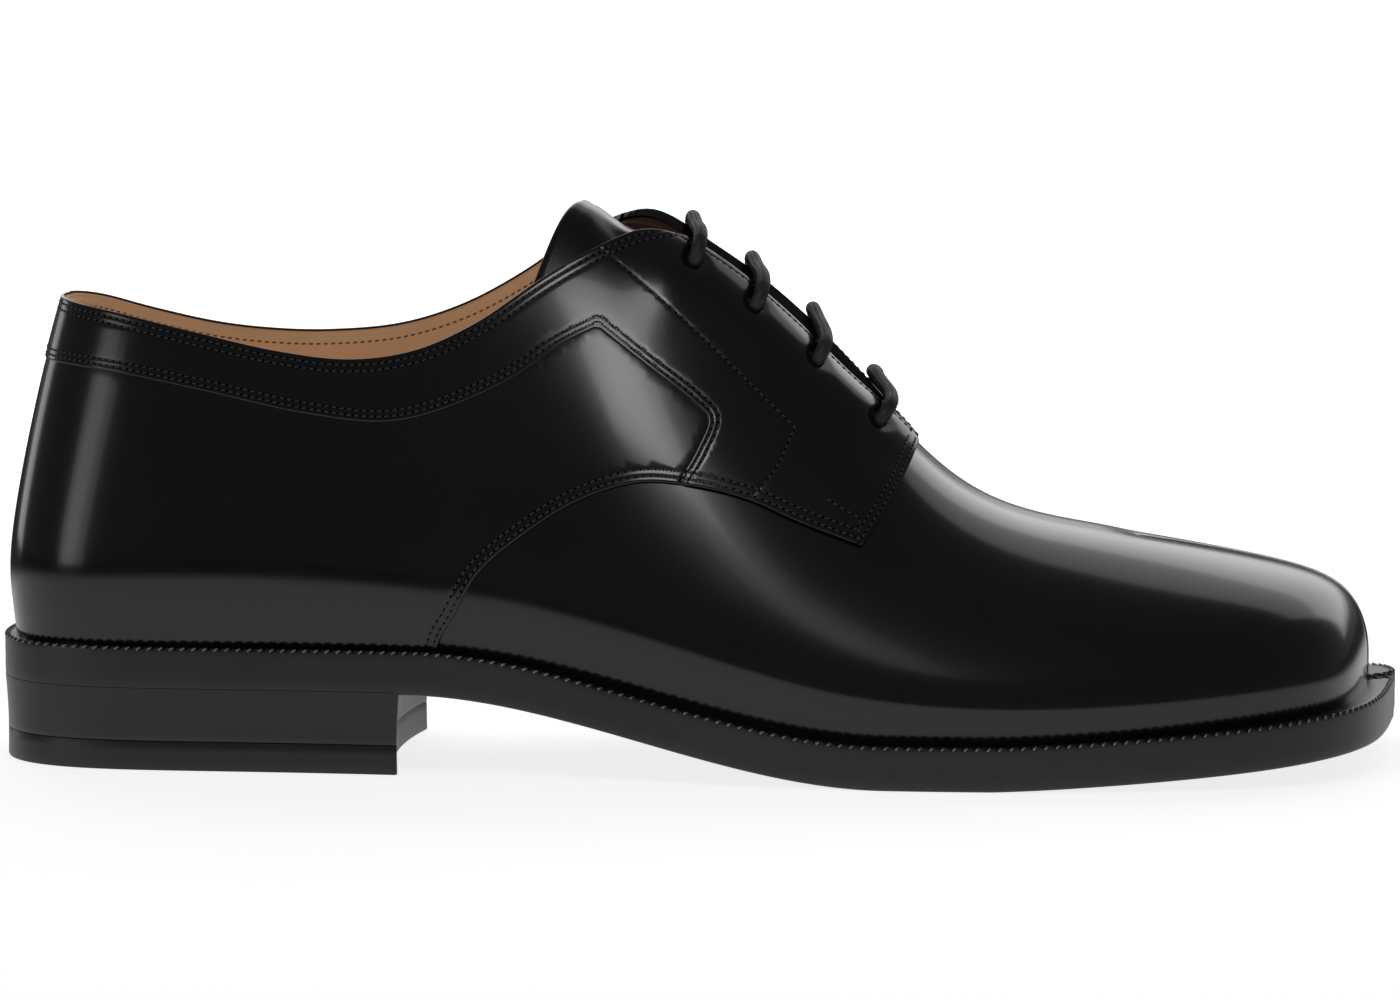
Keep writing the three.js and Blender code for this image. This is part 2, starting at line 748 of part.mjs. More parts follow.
function makeWelt() {
  const low = (x) => outsoleHigh(x) + seatGap;
  const inside = layer(outlinePairs(() => -weltInside), (x) => low(x) - 5, (x) => weltTop(x) + 5);
  const islandHalf = weltInside + soleSlitWidth / 2;
  const bridge = upShoe([
    [cleftRootX - weltInside, cleftY(cleftRootX) - islandHalf],
    [toeX, cleftFrontY - islandHalf - 1],
    [toeX, cleftFrontY + islandHalf + 1],
    [cleftRootX - weltInside, cleftY(cleftRootX) + islandHalf],
  ], -instepHeight, instepHeight);
  return layer(outlinePairs(weltMargin), low, weltTop)
    .subtract(inside.subtract(bridge))
    .subtract(soleSlit());
}

function makeInsole() {
  const low = (x) => weltTop(x) + seatGap;
  const high = (x) => low(x) + insoleThickness;
  const inset = wall + seatGap;
  return layer(outlinePairs(() => wall), low, high)
    .intersect(lastBody(-inset, innerRows, innerColumns))
    .subtract(cleftSlot(inset, cleftWidth))
    .subtract(cleftCutter(inset));
}

// Heel block: the sole's outline up to a hollow breast, tapering a little to the floor
function heelBlock(low, high, lowInset, highInset) {
  const outline = (inset) => outlinePairs((x) => weltMargin(x) - inset);
  const block = between(outline(lowInset), outline(highInset), () => low, () => high);
  const breastX = heelX + breastFromHeel;
  const halfWidth = 0.4 * ballWidth;
  const arc = [];
  const arcSteps = 12;
  for (let i = 0; i <= arcSteps; i += 1) {
    const share = (2 * i) / arcSteps - 1;
    arc.push([breastX - breastHollow * (1 - share * share), share * halfWidth]);
  }
  const front = upShoe([
    [breastX, -far], ...arc, [breastX, far], [toeX + pastEnd, far], [toeX + pastEnd, -far],
  ], -heelHeight, 2 * heelHeight);
  return block.subtract(front);
}

function makeHeelStack() {
  const low = topPieceThickness + seatGap;
  return heelBlock(low, heelHeight - seatGap, 0.75 * heelTaper, 0.25 * heelTaper);
}

function makeTopPiece() {
  return heelBlock(0, topPieceThickness, heelTaper, 0.8 * heelTaper);
}

// The tongue: one leather sheet under the vamp's edge and the facings. It stands a little
// higher along its middle than under the facings, where the lace runs.
const tongueUnderVamp = 7;
const tongueHigh = 0.4;
const tongueClearance = 3 * seatGap;
const laceRoom = laceDiameter + 9 * seatGap;
const tongueDropAtVamp = 10;
const tongueDropAside = 6;
const tongueDropBehind = 14;
const tongueDropPastLace = 20;
const tongueDip = 2.8;
const tongueDipBehind = 12;
const tongueDipReach = 7;

function tongueLevel(x, y) {
  const topEyeletX = eyeletX(eyeletRows - 1, -1);
  const fromDip = (x - topEyeletX + tongueDipBehind) / tongueDipReach;
  const shallow = wall + tongueClearance + tongueHigh * ease((throatX - x) / tongueDropAtVamp)
    + tongueDip * Math.exp(-(fromDip ** 2));
  const beside = ease((Math.abs(y - throatMiddleY) - 0.3 * facingGap) / tongueDropAside);
  const behindVamp = ease((throatX + tongueUnderVamp - x) / tongueDropAtVamp);
  const beforeTop = ease((x - topEyeletX + tongueDropPastLace) / tongueDropBehind);
  return shallow + (wall + laceRoom - shallow) * beside * behindVamp * beforeTop;
}

function makeTongue() {
  const rows = 11;
  const columns = 10;
  const halfAtVamp = 0.17 * ballWidth;
  const halfAtTop = 0.255 * ballWidth;
  const cornerBack = 9;
  const rings = [];
  for (let row = 0; row <= rows; row += 1) {
    const share = row / rows;
    const upper = [];
    const lower = [];
    for (let column = 0; column <= columns; column += 1) {
      const across = (2 * column) / columns - 1;
      const narrow = row === 0 || row === rows ? 0.9 : 1;
      const half = (halfAtVamp + (halfAtTop - halfAtVamp) * share) * narrow;
      const x = throatX + tongueUnderVamp - share * (tongueLength + cornerBack * across * across);
      const y = throatMiddleY + across * half;
      const level = tongueLevel(x, y);
      upper.push(topPoint(x, y, -level));
      lower.push(topPoint(x, y, -level - tongueThickness));
    }
    rings.push([...upper, ...lower.reverse()]);
  }
  return loft(rings);
}

// The lace: straight bars over the throat, joined under the facings by short legs and one long
// leg, so that it is one round cord. Its two ends stop hidden at the top eyelets.
const laceRadius = laceDiameter / 2;
const legLevel = -(wall + 6 * seatGap + laceRadius);
const barLevel = quarterStep + bandStep + seatGap + laceRadius;
const longLegAside = laceDiameter + 2 * seatGap;
const barRise = 0.3;
const lipAside = 1.8;

function lacePoint(row, side, aside, level) {
  return topPoint(...besideEyelet(row, side, aside), level);
}

// A bar lies on both facings and runs straight between their edges.
function barPoints(row, fromSide) {
  const climb = (side) => [
    lacePoint(row, side, 0, -wall - 3 * seatGap),
    lacePoint(row, side, 0, quarterStep + bandStep + seatGap),
    lacePoint(row, side, -lipAside, barLevel + seatGap),
    lacePoint(row, side, -(eyeletFromEdge - eyeletNearerPerRow * row), barLevel + barRise),
  ];
  const near = climb(fromSide);
  const away = climb(-fromSide).reverse();
  const middle = near[near.length - 1].clone().add(away[0]).multiplyScalar(0.5);
  middle.z += barRise;
  return [...near, middle, ...away];
}

function laceRoute() {
  const top = eyeletRows - 1;
  const route = [];
  const longLegSteps = 6;
  for (let step = 0; step < longLegSteps; step += 1) {
    const row = top * (1 - step / longLegSteps);
    route.push(lacePoint(row, -1, longLegAside, legLevel));
  }
  route.push(lacePoint(0, -1, 0.55 * longLegAside, legLevel));
  let side = -1;
  for (let row = 0; row < eyeletRows; row += 1) {
    route.push(...barPoints(row, side));
    side = -side;
    if (row < top) {
      for (const share of [0.22, 0.5, 0.78]) route.push(lacePoint(row + share, side, 0, legLevel));
    }
  }
  route.push(lacePoint(top, side, 0, legLevel + 0.6 * laceRadius));
  return route;
}

// Round cord along a route, with a ring at every chosen point and between them about one each
// "stepLength". Each ring is turned as little as can be from the one before it.
function cordSolid(route, radius, sides, stepLength) {
  const curve = new THREE.CatmullRomCurve3(route, false, 'centripetal');
  const spans = route.length - 1;
  const centres = [];
  for (let span = 0; span < spans; span += 1) {
    const count = Math.max(1, Math.round(route[span].distanceTo(route[span + 1]) / stepLength));
    for (let i = 0; i < count; i += 1) centres.push(curve.getPoint((span + i / count) / spans));
  }
  centres.push(route[spans].clone());
  const rings = [];
  const across = new THREE.Vector3(0, 0, 1);
  centres.forEach((centre, index) => {
    const before = centres[Math.max(index - 1, 0)];
    const after = centres[Math.min(index + 1, centres.length - 1)];
    const run = after.clone().sub(before).normalize();
    across.addScaledVector(run, -across.dot(run)).normalize();
    const aside = new THREE.Vector3().crossVectors(run, across);
    const ring = [];
    for (let k = 0; k < sides; k += 1) {
      const angle = (2 * Math.PI * k) / sides;
      ring.push(centre.clone()
        .addScaledVector(across, radius * Math.cos(angle))
        .addScaledVector(aside, radius * Math.sin(angle)));
    }
    rings.push(ring);
  });
  return loft(rings);
}

const laceSides = 8;
const laceStep = 3.2;

function makeLace() {
  return cordSolid(laceRoute(), laceRadius, laceSides, laceStep);
}

// Finishes and the assembled shoe
function finish(color, roughness) {
  return new THREE.MeshStandardMaterial({ color, roughness, metalness: 0 });
}

function piece(name, body, material) {
  const mesh = body.getMesh();
  const geometry = new THREE.BufferGeometry();
  geometry.setAttribute('position', new THREE.BufferAttribute(new Float32Array(mesh.vertProperties), 3));
  geometry.setIndex(Array.from(mesh.triVerts));
  geometry.computeVertexNormals();
  const part = new THREE.Mesh(geometry, material);
  part.name = name;
  return part;
}

const shoe = new THREE.Group();
shoe.add(piece('upper', makeUpper(), finish(0x141416, 0.18)));
shoe.add(piece('tongue', makeTongue(), finish(0x161618, 0.25)));
shoe.add(piece('insole', makeInsole(), finish(0xb98f63, 0.6)));
shoe.add(piece('welt', makeWelt(), finish(0x2c2c2e, 0.45)));
shoe.add(piece('outsole', makeOutsole(), finish(0x2a2a2c, 0.5)));
shoe.add(piece('heel_stack', makeHeelStack(), finish(0x2a2a2c, 0.5)));
shoe.add(piece('top_piece', makeTopPiece(), finish(0x1f1f20, 0.7)));
shoe.add(piece('laces', makeLace(), finish(0x151515, 0.55)));

export default shoe;
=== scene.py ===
# Tabi lace-up shoe, right foot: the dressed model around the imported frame.
# Shapes are worked out in millimetres and written to the meshes in metres.
import math

import bpy
import bmesh
import numpy as np
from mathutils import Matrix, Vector
from mathutils.geometry import delaunay_2d_cdt


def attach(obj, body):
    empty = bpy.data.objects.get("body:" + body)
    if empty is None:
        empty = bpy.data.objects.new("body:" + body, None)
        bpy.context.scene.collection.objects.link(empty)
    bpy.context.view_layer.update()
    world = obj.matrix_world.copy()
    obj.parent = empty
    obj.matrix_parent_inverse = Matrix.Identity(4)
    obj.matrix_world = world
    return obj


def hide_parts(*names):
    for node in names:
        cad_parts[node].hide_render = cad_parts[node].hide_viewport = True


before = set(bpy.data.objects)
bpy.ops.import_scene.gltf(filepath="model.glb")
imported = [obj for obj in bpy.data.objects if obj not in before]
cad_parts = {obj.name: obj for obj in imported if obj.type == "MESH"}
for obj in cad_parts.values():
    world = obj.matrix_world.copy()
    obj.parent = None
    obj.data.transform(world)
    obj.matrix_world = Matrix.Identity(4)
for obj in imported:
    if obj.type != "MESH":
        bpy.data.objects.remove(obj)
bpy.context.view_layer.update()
metres = 0.001

# The last and the sole

last = {
    "soleLength": 290.0,
    "ballWidth": 104.0,
    "instepHeight": 100.0,
    "heelHeight": 16.5,
    "toeSpring": 6.2,
    "outsole": 5.0,
    "welt": 3.5,
    "layerGap": 0.3,
    "weltAtToe": 5.0,
    "weltAtSide": 4.0,
    "weltAtHeel": 3.4,
    "cleftLength": 48.0,
    "cleftWidth": 7.4,
    "throatFromToe": 102.0,
    "facingGap": 21.0,
}
heelX = -last["soleLength"] / 2
toeX = last["soleLength"] / 2
soleEdge = last["outsole"] + last["layerGap"] + last["welt"]
throatX = toeX - last["throatFromToe"]
cleftRootX = toeX - last["weltAtToe"] - last["cleftLength"]
cleftFrontY = 0.205 * last["ballWidth"]
cleftRootY = 0.125 * last["ballWidth"]


def ease(value):
    t = np.clip(value, 0.0, 1.0)
    return t * t * (3 - 2 * t)


def weltTop(x):
    share = (x - heelX) / last["soleLength"]
    drop = ease((share - 0.303) / (0.641 - 0.303))
    rise = np.maximum(0.0, (share - 0.714) / (1 - 0.714))
    return last["heelHeight"] * (1 - drop) + soleEdge + last["toeSpring"] * rise**1.3


# Sections from the back seam to the toe: place along the sole, then widths out and in as shares
# of the ball width and heights over the welt as shares of the instep height.
lastSections = [
    # at, foot out, foot in, wide out, wide in, wide up, shoulder out, in, up, ridge, top
    [0.008, -0.019, -0.019, -0.019, -0.019, 0.20, -0.019, -0.019, 0.69, -0.019, 1.04],
    [0.017, -0.202, 0.163, -0.231, 0.192, 0.20, -0.135, 0.096, 0.68, -0.019, 1.04],
    [0.072, -0.298, 0.260, -0.346, 0.303, 0.20, -0.240, 0.202, 0.66, -0.019, 1.04],
    [0.169, -0.303, 0.264, -0.356, 0.313, 0.20, -0.269, 0.231, 0.64, -0.014, 1.04],
    [0.272, -0.317, 0.260, -0.365, 0.313, 0.19, -0.269, 0.236, 0.62, -0.010, 1.03],
    [0.369, -0.351, 0.264, -0.394, 0.322, 0.19, -0.264, 0.236, 0.64, 0.010, 0.98],
    [0.452, -0.394, 0.288, -0.433, 0.332, 0.19, -0.260, 0.245, 0.66, 0.024, 0.98],
    [0.528, -0.428, 0.337, -0.462, 0.370, 0.18, -0.264, 0.269, 0.60, 0.034, 0.905],
    [0.603, -0.457, 0.399, -0.486, 0.423, 0.145, -0.298, 0.308, 0.46, 0.043, 0.73],
    [0.686, -0.471, 0.457, -0.495, 0.474, 0.115, -0.346, 0.356, 0.325, 0.058, 0.44],
    [0.776, -0.460, 0.474, -0.479, 0.488, 0.10, -0.375, 0.399, 0.265, 0.072, 0.38],
    [0.859, -0.428, 0.462, -0.445, 0.474, 0.095, -0.356, 0.394, 0.24, 0.087, 0.325],
    [0.928, -0.370, 0.433, -0.385, 0.442, 0.09, -0.322, 0.385, 0.215, 0.096, 0.27],
    [0.971, -0.250, 0.385, -0.260, 0.392, 0.075, -0.212, 0.346, 0.16, 0.115, 0.215],
    [0.985, -0.087, 0.298, -0.091, 0.303, 0.05, -0.067, 0.279, 0.075, 0.125, 0.11],
    [0.985, 0.144, 0.144, 0.144, 0.144, 0.03, 0.144, 0.144, 0.045, 0.144, 0.06],
]
sectionEnd = len(lastSections) - 1
columnEnd = 10
ridge = 5
footBelowWelt = 1.5


def controlRow(section):
    at, footOut, footIn, wideOut, wideIn, wideUp, highOut, highIn, highUp, ridgeAt, top = section
    floor = weltTop(heelX + at * last["soleLength"])
    tall = last["instepHeight"]
    heights = [
        floor - footBelowWelt,
        floor + 0.45 * wideUp * tall,
        floor + wideUp * tall,
        floor + highUp * tall,
        floor + top * tall,
        floor + top * tall,
    ]

    def side(foot, wide, high):
        return [foot, foot + 0.7 * (wide - foot), wide, high, ridgeAt + 0.5 * (high - ridgeAt)]

    outer = side(footOut, wideOut, highOut)
    inner = side(footIn, wideIn, highIn)
    y = np.array([*outer, ridgeAt, *inner[::-1]]) * last["ballWidth"]
    z = np.array([*heights, *heights[:5][::-1]])
    x = np.full(11, heelX + at * last["soleLength"])
    x += 0.09 * ease((at - 0.74) / 0.2) * (y - 0.144 * last["ballWidth"])  # the toe's slant
    up = z - weltTop(heelX)
    lean = 0.28 / tall * np.maximum(0, up - 0.18 * tall) ** 2
    swell = 0.03 * tall * np.exp(-(((up - 0.22 * tall) / (0.24 * tall)) ** 2))
    x += (1 - ease(at / 0.26)) * (lean - swell)  # the heel's curved back
    return np.stack([x, y, z], axis=1)


def paddedNet(rows):
    full = np.concatenate([rows[1:2, ::-1], rows, rows[-2:-1, ::-1]])
    before = 2 * full[:, :1] - full[:, 1:2]
    after = 2 * full[:, -1:] - full[:, -2:-1]
    return np.concatenate([before, full, after], axis=1)


def weights(f):
    before, after = 3 * f**3 - 6 * f**2 + 4, -3 * f**3 + 3 * f**2 + 3 * f + 1
    return np.stack([(1 - f) ** 3, before, after, f**3], axis=-1) / 6


def slopes(f):
    return np.stack([-((1 - f) ** 2), 3 * f**2 - 4 * f, -3 * f**2 + 2 * f + 1, f**2], axis=-1) / 2


def netFrame(net, at):
    # Point and its two directions, along and around, for rows of (along, around)
    along, around = at[:, 0], at[:, 1]
    i = np.clip(np.floor(along).astype(int), 0, net.shape[0] - 4)
    j = np.clip(np.floor(around).astype(int), 0, net.shape[1] - 4)
    step = np.arange(4)
    patch = net[(i[:, None] + step)[:, :, None], (j[:, None] + step)[:, None, :]]
    f, g = along - i, around - j
    return [
        np.einsum("na,nb,nabk->nk", first, second, patch)
        for first, second in (
            (weights(f), weights(g)),
            (slopes(f), weights(g)),
            (weights(f), slopes(g)),
        )
    ]


def fittedNet():
    rows = np.array([controlRow(section) for section in lastSections])
    steps = np.arange(0, sectionEnd + 1e-6, 0.05)
    foot = np.concatenate([
        netFrame(paddedNet(rows), np.stack([steps, np.full(len(steps), float(end))], axis=1))[0]
        for end in (0, columnEnd)
    ])
    low, high = foot.min(axis=0), foot.max(axis=0)
    halfWidth = last["ballWidth"] / 2 - last["weltAtSide"]
    wantedLow = np.array([heelX + last["weltAtHeel"], -halfWidth])
    wantedHigh = np.array([toeX - last["weltAtToe"], halfWidth])
    scale = (wantedHigh - wantedLow) / (high - low)[:2]
    rows[:, :, :2] = wantedLow + (rows[:, :, :2] - low[:2]) * scale
    return paddedNet(rows)


lastNet = fittedNet()


def unit(vectors):
    return vectors / np.maximum(np.linalg.norm(vectors, axis=-1, keepdims=True), 1e-12)


def lastFrame(at):
    # Point and outward direction. At the two folds both halves share the mean of their directions.
    point = netFrame(lastNet, at)[0]
    margin = 0.06
    inside = np.clip(at[:, 0], margin, sectionEnd - margin)
    here = np.stack([inside, at[:, 1]], axis=1)
    other = np.stack([inside, columnEnd - at[:, 1]], axis=1)
    normals = []
    for place in (here, other):
        _, along, around = netFrame(lastNet, place)
        normals.append(unit(np.cross(along, around)))
    share = 0.5 * np.abs(at[:, :1] - inside[:, None]) / margin
    return point, unit(normals[0] * (1 - share) + normals[1] * share)


coarse = np.stack(
    np.meshgrid(np.linspace(0, sectionEnd, 161), np.linspace(0, columnEnd, 121), indexing="ij"), axis=-1
).reshape(-1, 2)
coarsePoints = netFrame(lastNet, coarse)[0]


def locate(wanted, axes, low, high):
    # (along, around) of the surface points that show at "wanted" when seen along the third axis
    wanted = np.asarray(wanted, dtype=float)
    allowed = (coarse[:, 1] >= low) & (coarse[:, 1] <= high)
    starts, places = coarse[allowed], coarsePoints[allowed][:, axes]
    nearest = [int(np.argmin(((places - one) ** 2).sum(axis=1))) for one in wanted]
    at = starts[nearest].copy()
    for _ in range(12):
        point, along, around = netFrame(lastNet, at)
        miss = wanted - point[:, axes]
        a, b = along[:, axes].T
        c, d = around[:, axes].T
        area = a * d - b * c
        area = np.where(np.abs(area) < 1e-6, 1e-6, area)
        step = np.stack([miss[:, 0] * d - miss[:, 1] * c, miss[:, 1] * a - miss[:, 0] * b], axis=1)
        at = at + np.clip(step / area[:, None], -0.4, 0.4)
        at = np.clip(at, [0, low], [sectionEnd, high])
    return at


def overPlan(pairs):
    return locate(pairs, [0, 1], 2.0, 8.0)


def onSide(pairs, side):
    return locate(pairs, [0, 2], *((0.0, 4.95) if side < 0 else (5.05, 10.0)))


def raised(at, level):
    point, out = lastFrame(at)
    return point + out * np.reshape(level, (-1, 1))


# Lines of the upper as seen from the side: place along the sole, height over the heel seat

sideLines = {
    "collarOuter": [
        [-0.02, 0.735], [0.030, 0.711], [0.054, 0.695], [0.091, 0.678], [0.148, 0.643],
        [0.208, 0.606], [0.260, 0.590], [0.305, 0.608], [0.347, 0.661], [0.394, 0.752],
        [0.432, 0.814], [0.457, 0.842], [0.483, 0.850],
    ],
    "collarInner": [
        [-0.02, 0.735], [0.030, 0.711], [0.060, 0.692], [0.095, 0.657], [0.140, 0.624],
        [0.183, 0.609], [0.225, 0.607], [0.276, 0.622], [0.322, 0.665], [0.367, 0.736],
        [0.412, 0.828], [0.440, 0.873], [0.462, 0.897],
    ],
    "vampSeam": [
        [0.622, 0.221], [0.578, 0.269], [0.543, 0.313], [0.510, 0.338], [0.467, 0.350],
        [0.425, 0.315], [0.384, 0.241], [0.354, 0.166], [0.337, 0.079], [0.326, 0.023], [0.320, -0.12],
    ],
    "facingFront": [
        [0.660, 0.470], [0.653, 0.409], [0.650, 0.362], [0.640, 0.301], [0.622, 0.221],
    ],
    "bandUnderCollar": [
        [-0.05, 0.607], [0.037, 0.588], [0.094, 0.573], [0.156, 0.541], [0.225, 0.499],
        [0.283, 0.481], [0.316, 0.498], [0.368, 0.561], [0.407, 0.635], [0.434, 0.672],
    ],
    "bandDownFacing": [
        [0.434, 0.672], [0.472, 0.589], [0.507, 0.512], [0.518, 0.475], [0.510, 0.405], [0.498, 0.344],
    ],
    "facingStitch": [
        [0.418, 0.835], [0.434, 0.807], [0.498, 0.651], [0.572, 0.451],
    ],
    "facingStitchDown": [
        [0.572, 0.451], [0.561, 0.376], [0.547, 0.326],
    ],
}


def smoothLine(points, steps):
    # Catmull-Rom curve through the points
    points = np.asarray(points, dtype=float)
    padded = np.concatenate([2 * points[:1] - points[1:2], points, 2 * points[-1:] - points[-2:-1]])
    knots = np.concatenate([[0], np.cumsum(np.sqrt(np.linalg.norm(np.diff(padded, axis=0), axis=1)))])
    made = []
    for span in range(1, len(padded) - 2):
        p0, p1, p2, p3 = padded[span - 1 : span + 3]
        t0, t1, t2, t3 = knots[span - 1 : span + 3]
        t = np.linspace(t1, t2, steps, endpoint=False)[:, None]
        a1 = (t1 - t) / (t1 - t0) * p0 + (t - t0) / (t1 - t0) * p1
        a2 = (t2 - t) / (t2 - t1) * p1 + (t - t1) / (t2 - t1) * p2
        a3 = (t3 - t) / (t3 - t2) * p2 + (t - t2) / (t3 - t2) * p3
        b1 = (t2 - t) / (t2 - t0) * a1 + (t - t0) / (t2 - t0) * a2
        b2 = (t3 - t) / (t3 - t1) * a2 + (t - t1) / (t3 - t1) * a3
        made.append((t2 - t) / (t2 - t1) * b1 + (t - t1) / (t2 - t1) * b2)
    return np.concatenate([*made, points[-1:]])


def sideLine(name, steps=6):
    shares = np.array(sideLines[name])
    pairs = np.stack([
        heelX + shares[:, 0] * last["soleLength"],
        weltTop(heelX) + shares[:, 1] * last["instepHeight"],
    ], axis=1)
    return smoothLine(pairs, steps)


def resample(points, pitch, closed=False):
    points = np.asarray(points, dtype=float)
    if closed:
        points = np.concatenate([points, points[:1]])
    run = np.concatenate([[0], np.cumsum(np.linalg.norm(np.diff(points, axis=0), axis=1))])
    count = max(2, int(round(run[-1] / pitch)) + 1)
    wanted = np.linspace(0, run[-1], count)
    if closed:
        wanted = wanted[:-1]
    return np.stack([np.interp(wanted, run, points[:, k]) for k in range(points.shape[1])], axis=1)


def lineDistance(pairs, line, inside):
    # Signed distance to an open line, positive on the side of the point "inside"
    best = np.full(len(pairs), 1e18)
    sign = np.ones(len(pairs))
    for a, b in zip(line[:-1], line[1:]):
        run = b - a
        offset = pairs - a
        share = np.clip(offset @ run / (run @ run), 0, 1)
        gap = offset - share[:, None] * run
        distance = (gap**2).sum(axis=1)
        cross = run[0] * offset[:, 1] - run[1] * offset[:, 0]
        closer = distance < best
        best = np.where(closer, distance, best)
        sign = np.where(closer, np.sign(cross), sign)
    signed = np.sqrt(best) * sign
    if inside is not None and lineDistance(np.array([inside], dtype=float), line, None)[0] < 0:
        signed = -signed
    return signed



def collarWithEnd(name):
    line = sideLine(name)
    return np.concatenate([line, [line[-1] + [1.7, 40.0]]])


collarLines = {-1: collarWithEnd("collarOuter"), 1: collarWithEnd("collarInner")}
quarterLine = np.concatenate([sideLine("facingFront"), sideLine("vampSeam")[1:]])
bandUnder = sideLine("bandUnderCollar")
bandDown = sideLine("bandDownFacing")
bandLine = np.concatenate([bandUnder, bandDown[1:], [bandDown[-1] + [-1.5, -12.0]]])
facingLine = np.concatenate([sideLine("facingStitch"), sideLine("facingStitchDown")[1:]])

throatMiddleY = 0.024 * last["ballWidth"]
throatEndX = -45.0
bandLap = 1.6  # how far the band reaches past the middle of its own stitching


def facingEdgeY(x, side):
    up = np.clip((throatX - x) / (0.2 * last["soleLength"]), 0, 1.5)
    return throatMiddleY + side * last["facingGap"] / 2 * (0.75 + 0.25 * up)


def quarterField(points):
    return lineDistance(points[:, [0, 2]], quarterLine, (-60.0, 45.0))


def bandField(points):
    return lineDistance(points[:, [0, 2]], bandLine, (20.0, 75.0)) + bandLap


def collarField(points):
    pairs = points[:, [0, 2]]
    outer, inner = (lineDistance(pairs, collarLines[side], (-60.0, 50.0)) for side in (-1, 1))
    return np.where(points[:, 1] < throatMiddleY, outer, inner)


def throatField(points):
    # The slot between the facings. It has no end at the collar, so it fades out behind the tongue.
    half = facingEdgeY(points[:, 0], 1) - throatMiddleY
    behind = np.maximum(throatEndX - points[:, 0], 0)
    return np.abs(points[:, 1] - throatMiddleY) - half + 3 * behind


def facingStitchField(points):
    return lineDistance(points[:, [0, 2]], facingLine, (20.0, 110.0))


def roundedMeet(fields, radius):
    # Distance inside all of the fields at once, with round corners
    short = [np.maximum(radius - field, 0) for field in fields]
    near = radius - np.sqrt(sum(gap**2 for gap in short))
    return np.where(near < radius, near, np.min(fields, axis=0))


# Cleft between the lobes

cleft = {
    "round": 4.0,
    "rootRound": 1.5,
    "rootWidthShare": 0.1,
    "wallRows": (0.12, 0.3, 0.55, 1.0),
    "lipCuts": (0.03, 0.12, 0.27, 0.5, 0.75, 1.0),
    "dip": 0.7,
    "dipWidth": 7.0,
}


def cleftShare(x):
    return (x - cleftRootX) / last["cleftLength"]


def cleftY(x):
    return cleftRootY + (cleftFrontY - cleftRootY) * cleftShare(x)


def cleftHalf(x):
    share = np.clip(cleftShare(x), 0, 1.1)
    return last["cleftWidth"] / 2 * (cleft["rootWidthShare"] + (1 - cleft["rootWidthShare"]) * share)


def cleftRoundAt(x):
    grow = ease(0.05 + 1.9 * np.clip(cleftShare(x), 0, 1))
    return cleft["rootRound"] + (cleft["round"] - cleft["rootRound"]) * grow


def cleftField(points):
    # Distance from the cleft's edge in plan, as a share of the lip's radius
    run = np.array([last["cleftLength"], cleftFrontY - cleftRootY])
    run = run / np.linalg.norm(run)
    offset = points[:, :2] - np.array([cleftRootX, cleftRootY])
    forward = offset @ run
    aside = offset @ np.array([-run[1], run[0]])
    distance = np.where(forward > 0, np.abs(aside), np.hypot(aside, forward))
    return (distance - cleftHalf(points[:, 0])) / cleftRoundAt(points[:, 0])


# Eyelets

eyelet = {
    "rows": 4,
    "pitch": 12.46,
    "fromThroat": 6.4,
    "fromEdge": 7.5,
    "nearerPerRow": 0.9,
    "innerBack": 3.5,
    "radius": 1.6,
    "rollRadius": 0.3,
    "wallLevels": (0.2, -1.5),
    "pucker": 0.4,
    "puckerWidth": 1.5,
}


def eyeletX(row, side):
    return throatX - eyelet["fromThroat"] - row * eyelet["pitch"] - (eyelet["innerBack"] if side > 0 else 0)


def eyeletInset(row):
    return eyelet["fromEdge"] - eyelet["nearerPerRow"] * row


def besideEyelet(row, side, aside):
    x = eyeletX(row, side)
    return [x, facingEdgeY(x, side) + side * (eyeletInset(row) + aside)]


eyeletAt = {
    side: overPlan([besideEyelet(row, side, 0) for row in range(eyelet["rows"])]) for side in (-1, 1)
}
eyeletPoints = np.concatenate([netFrame(lastNet, eyeletAt[side])[0] for side in (-1, 1)])


def eyeletField(points):
    return np.min([np.linalg.norm(points - centre, axis=1) for centre in eyeletPoints], axis=0)


print("last and lines ready")


# Panels cut from the last's surface

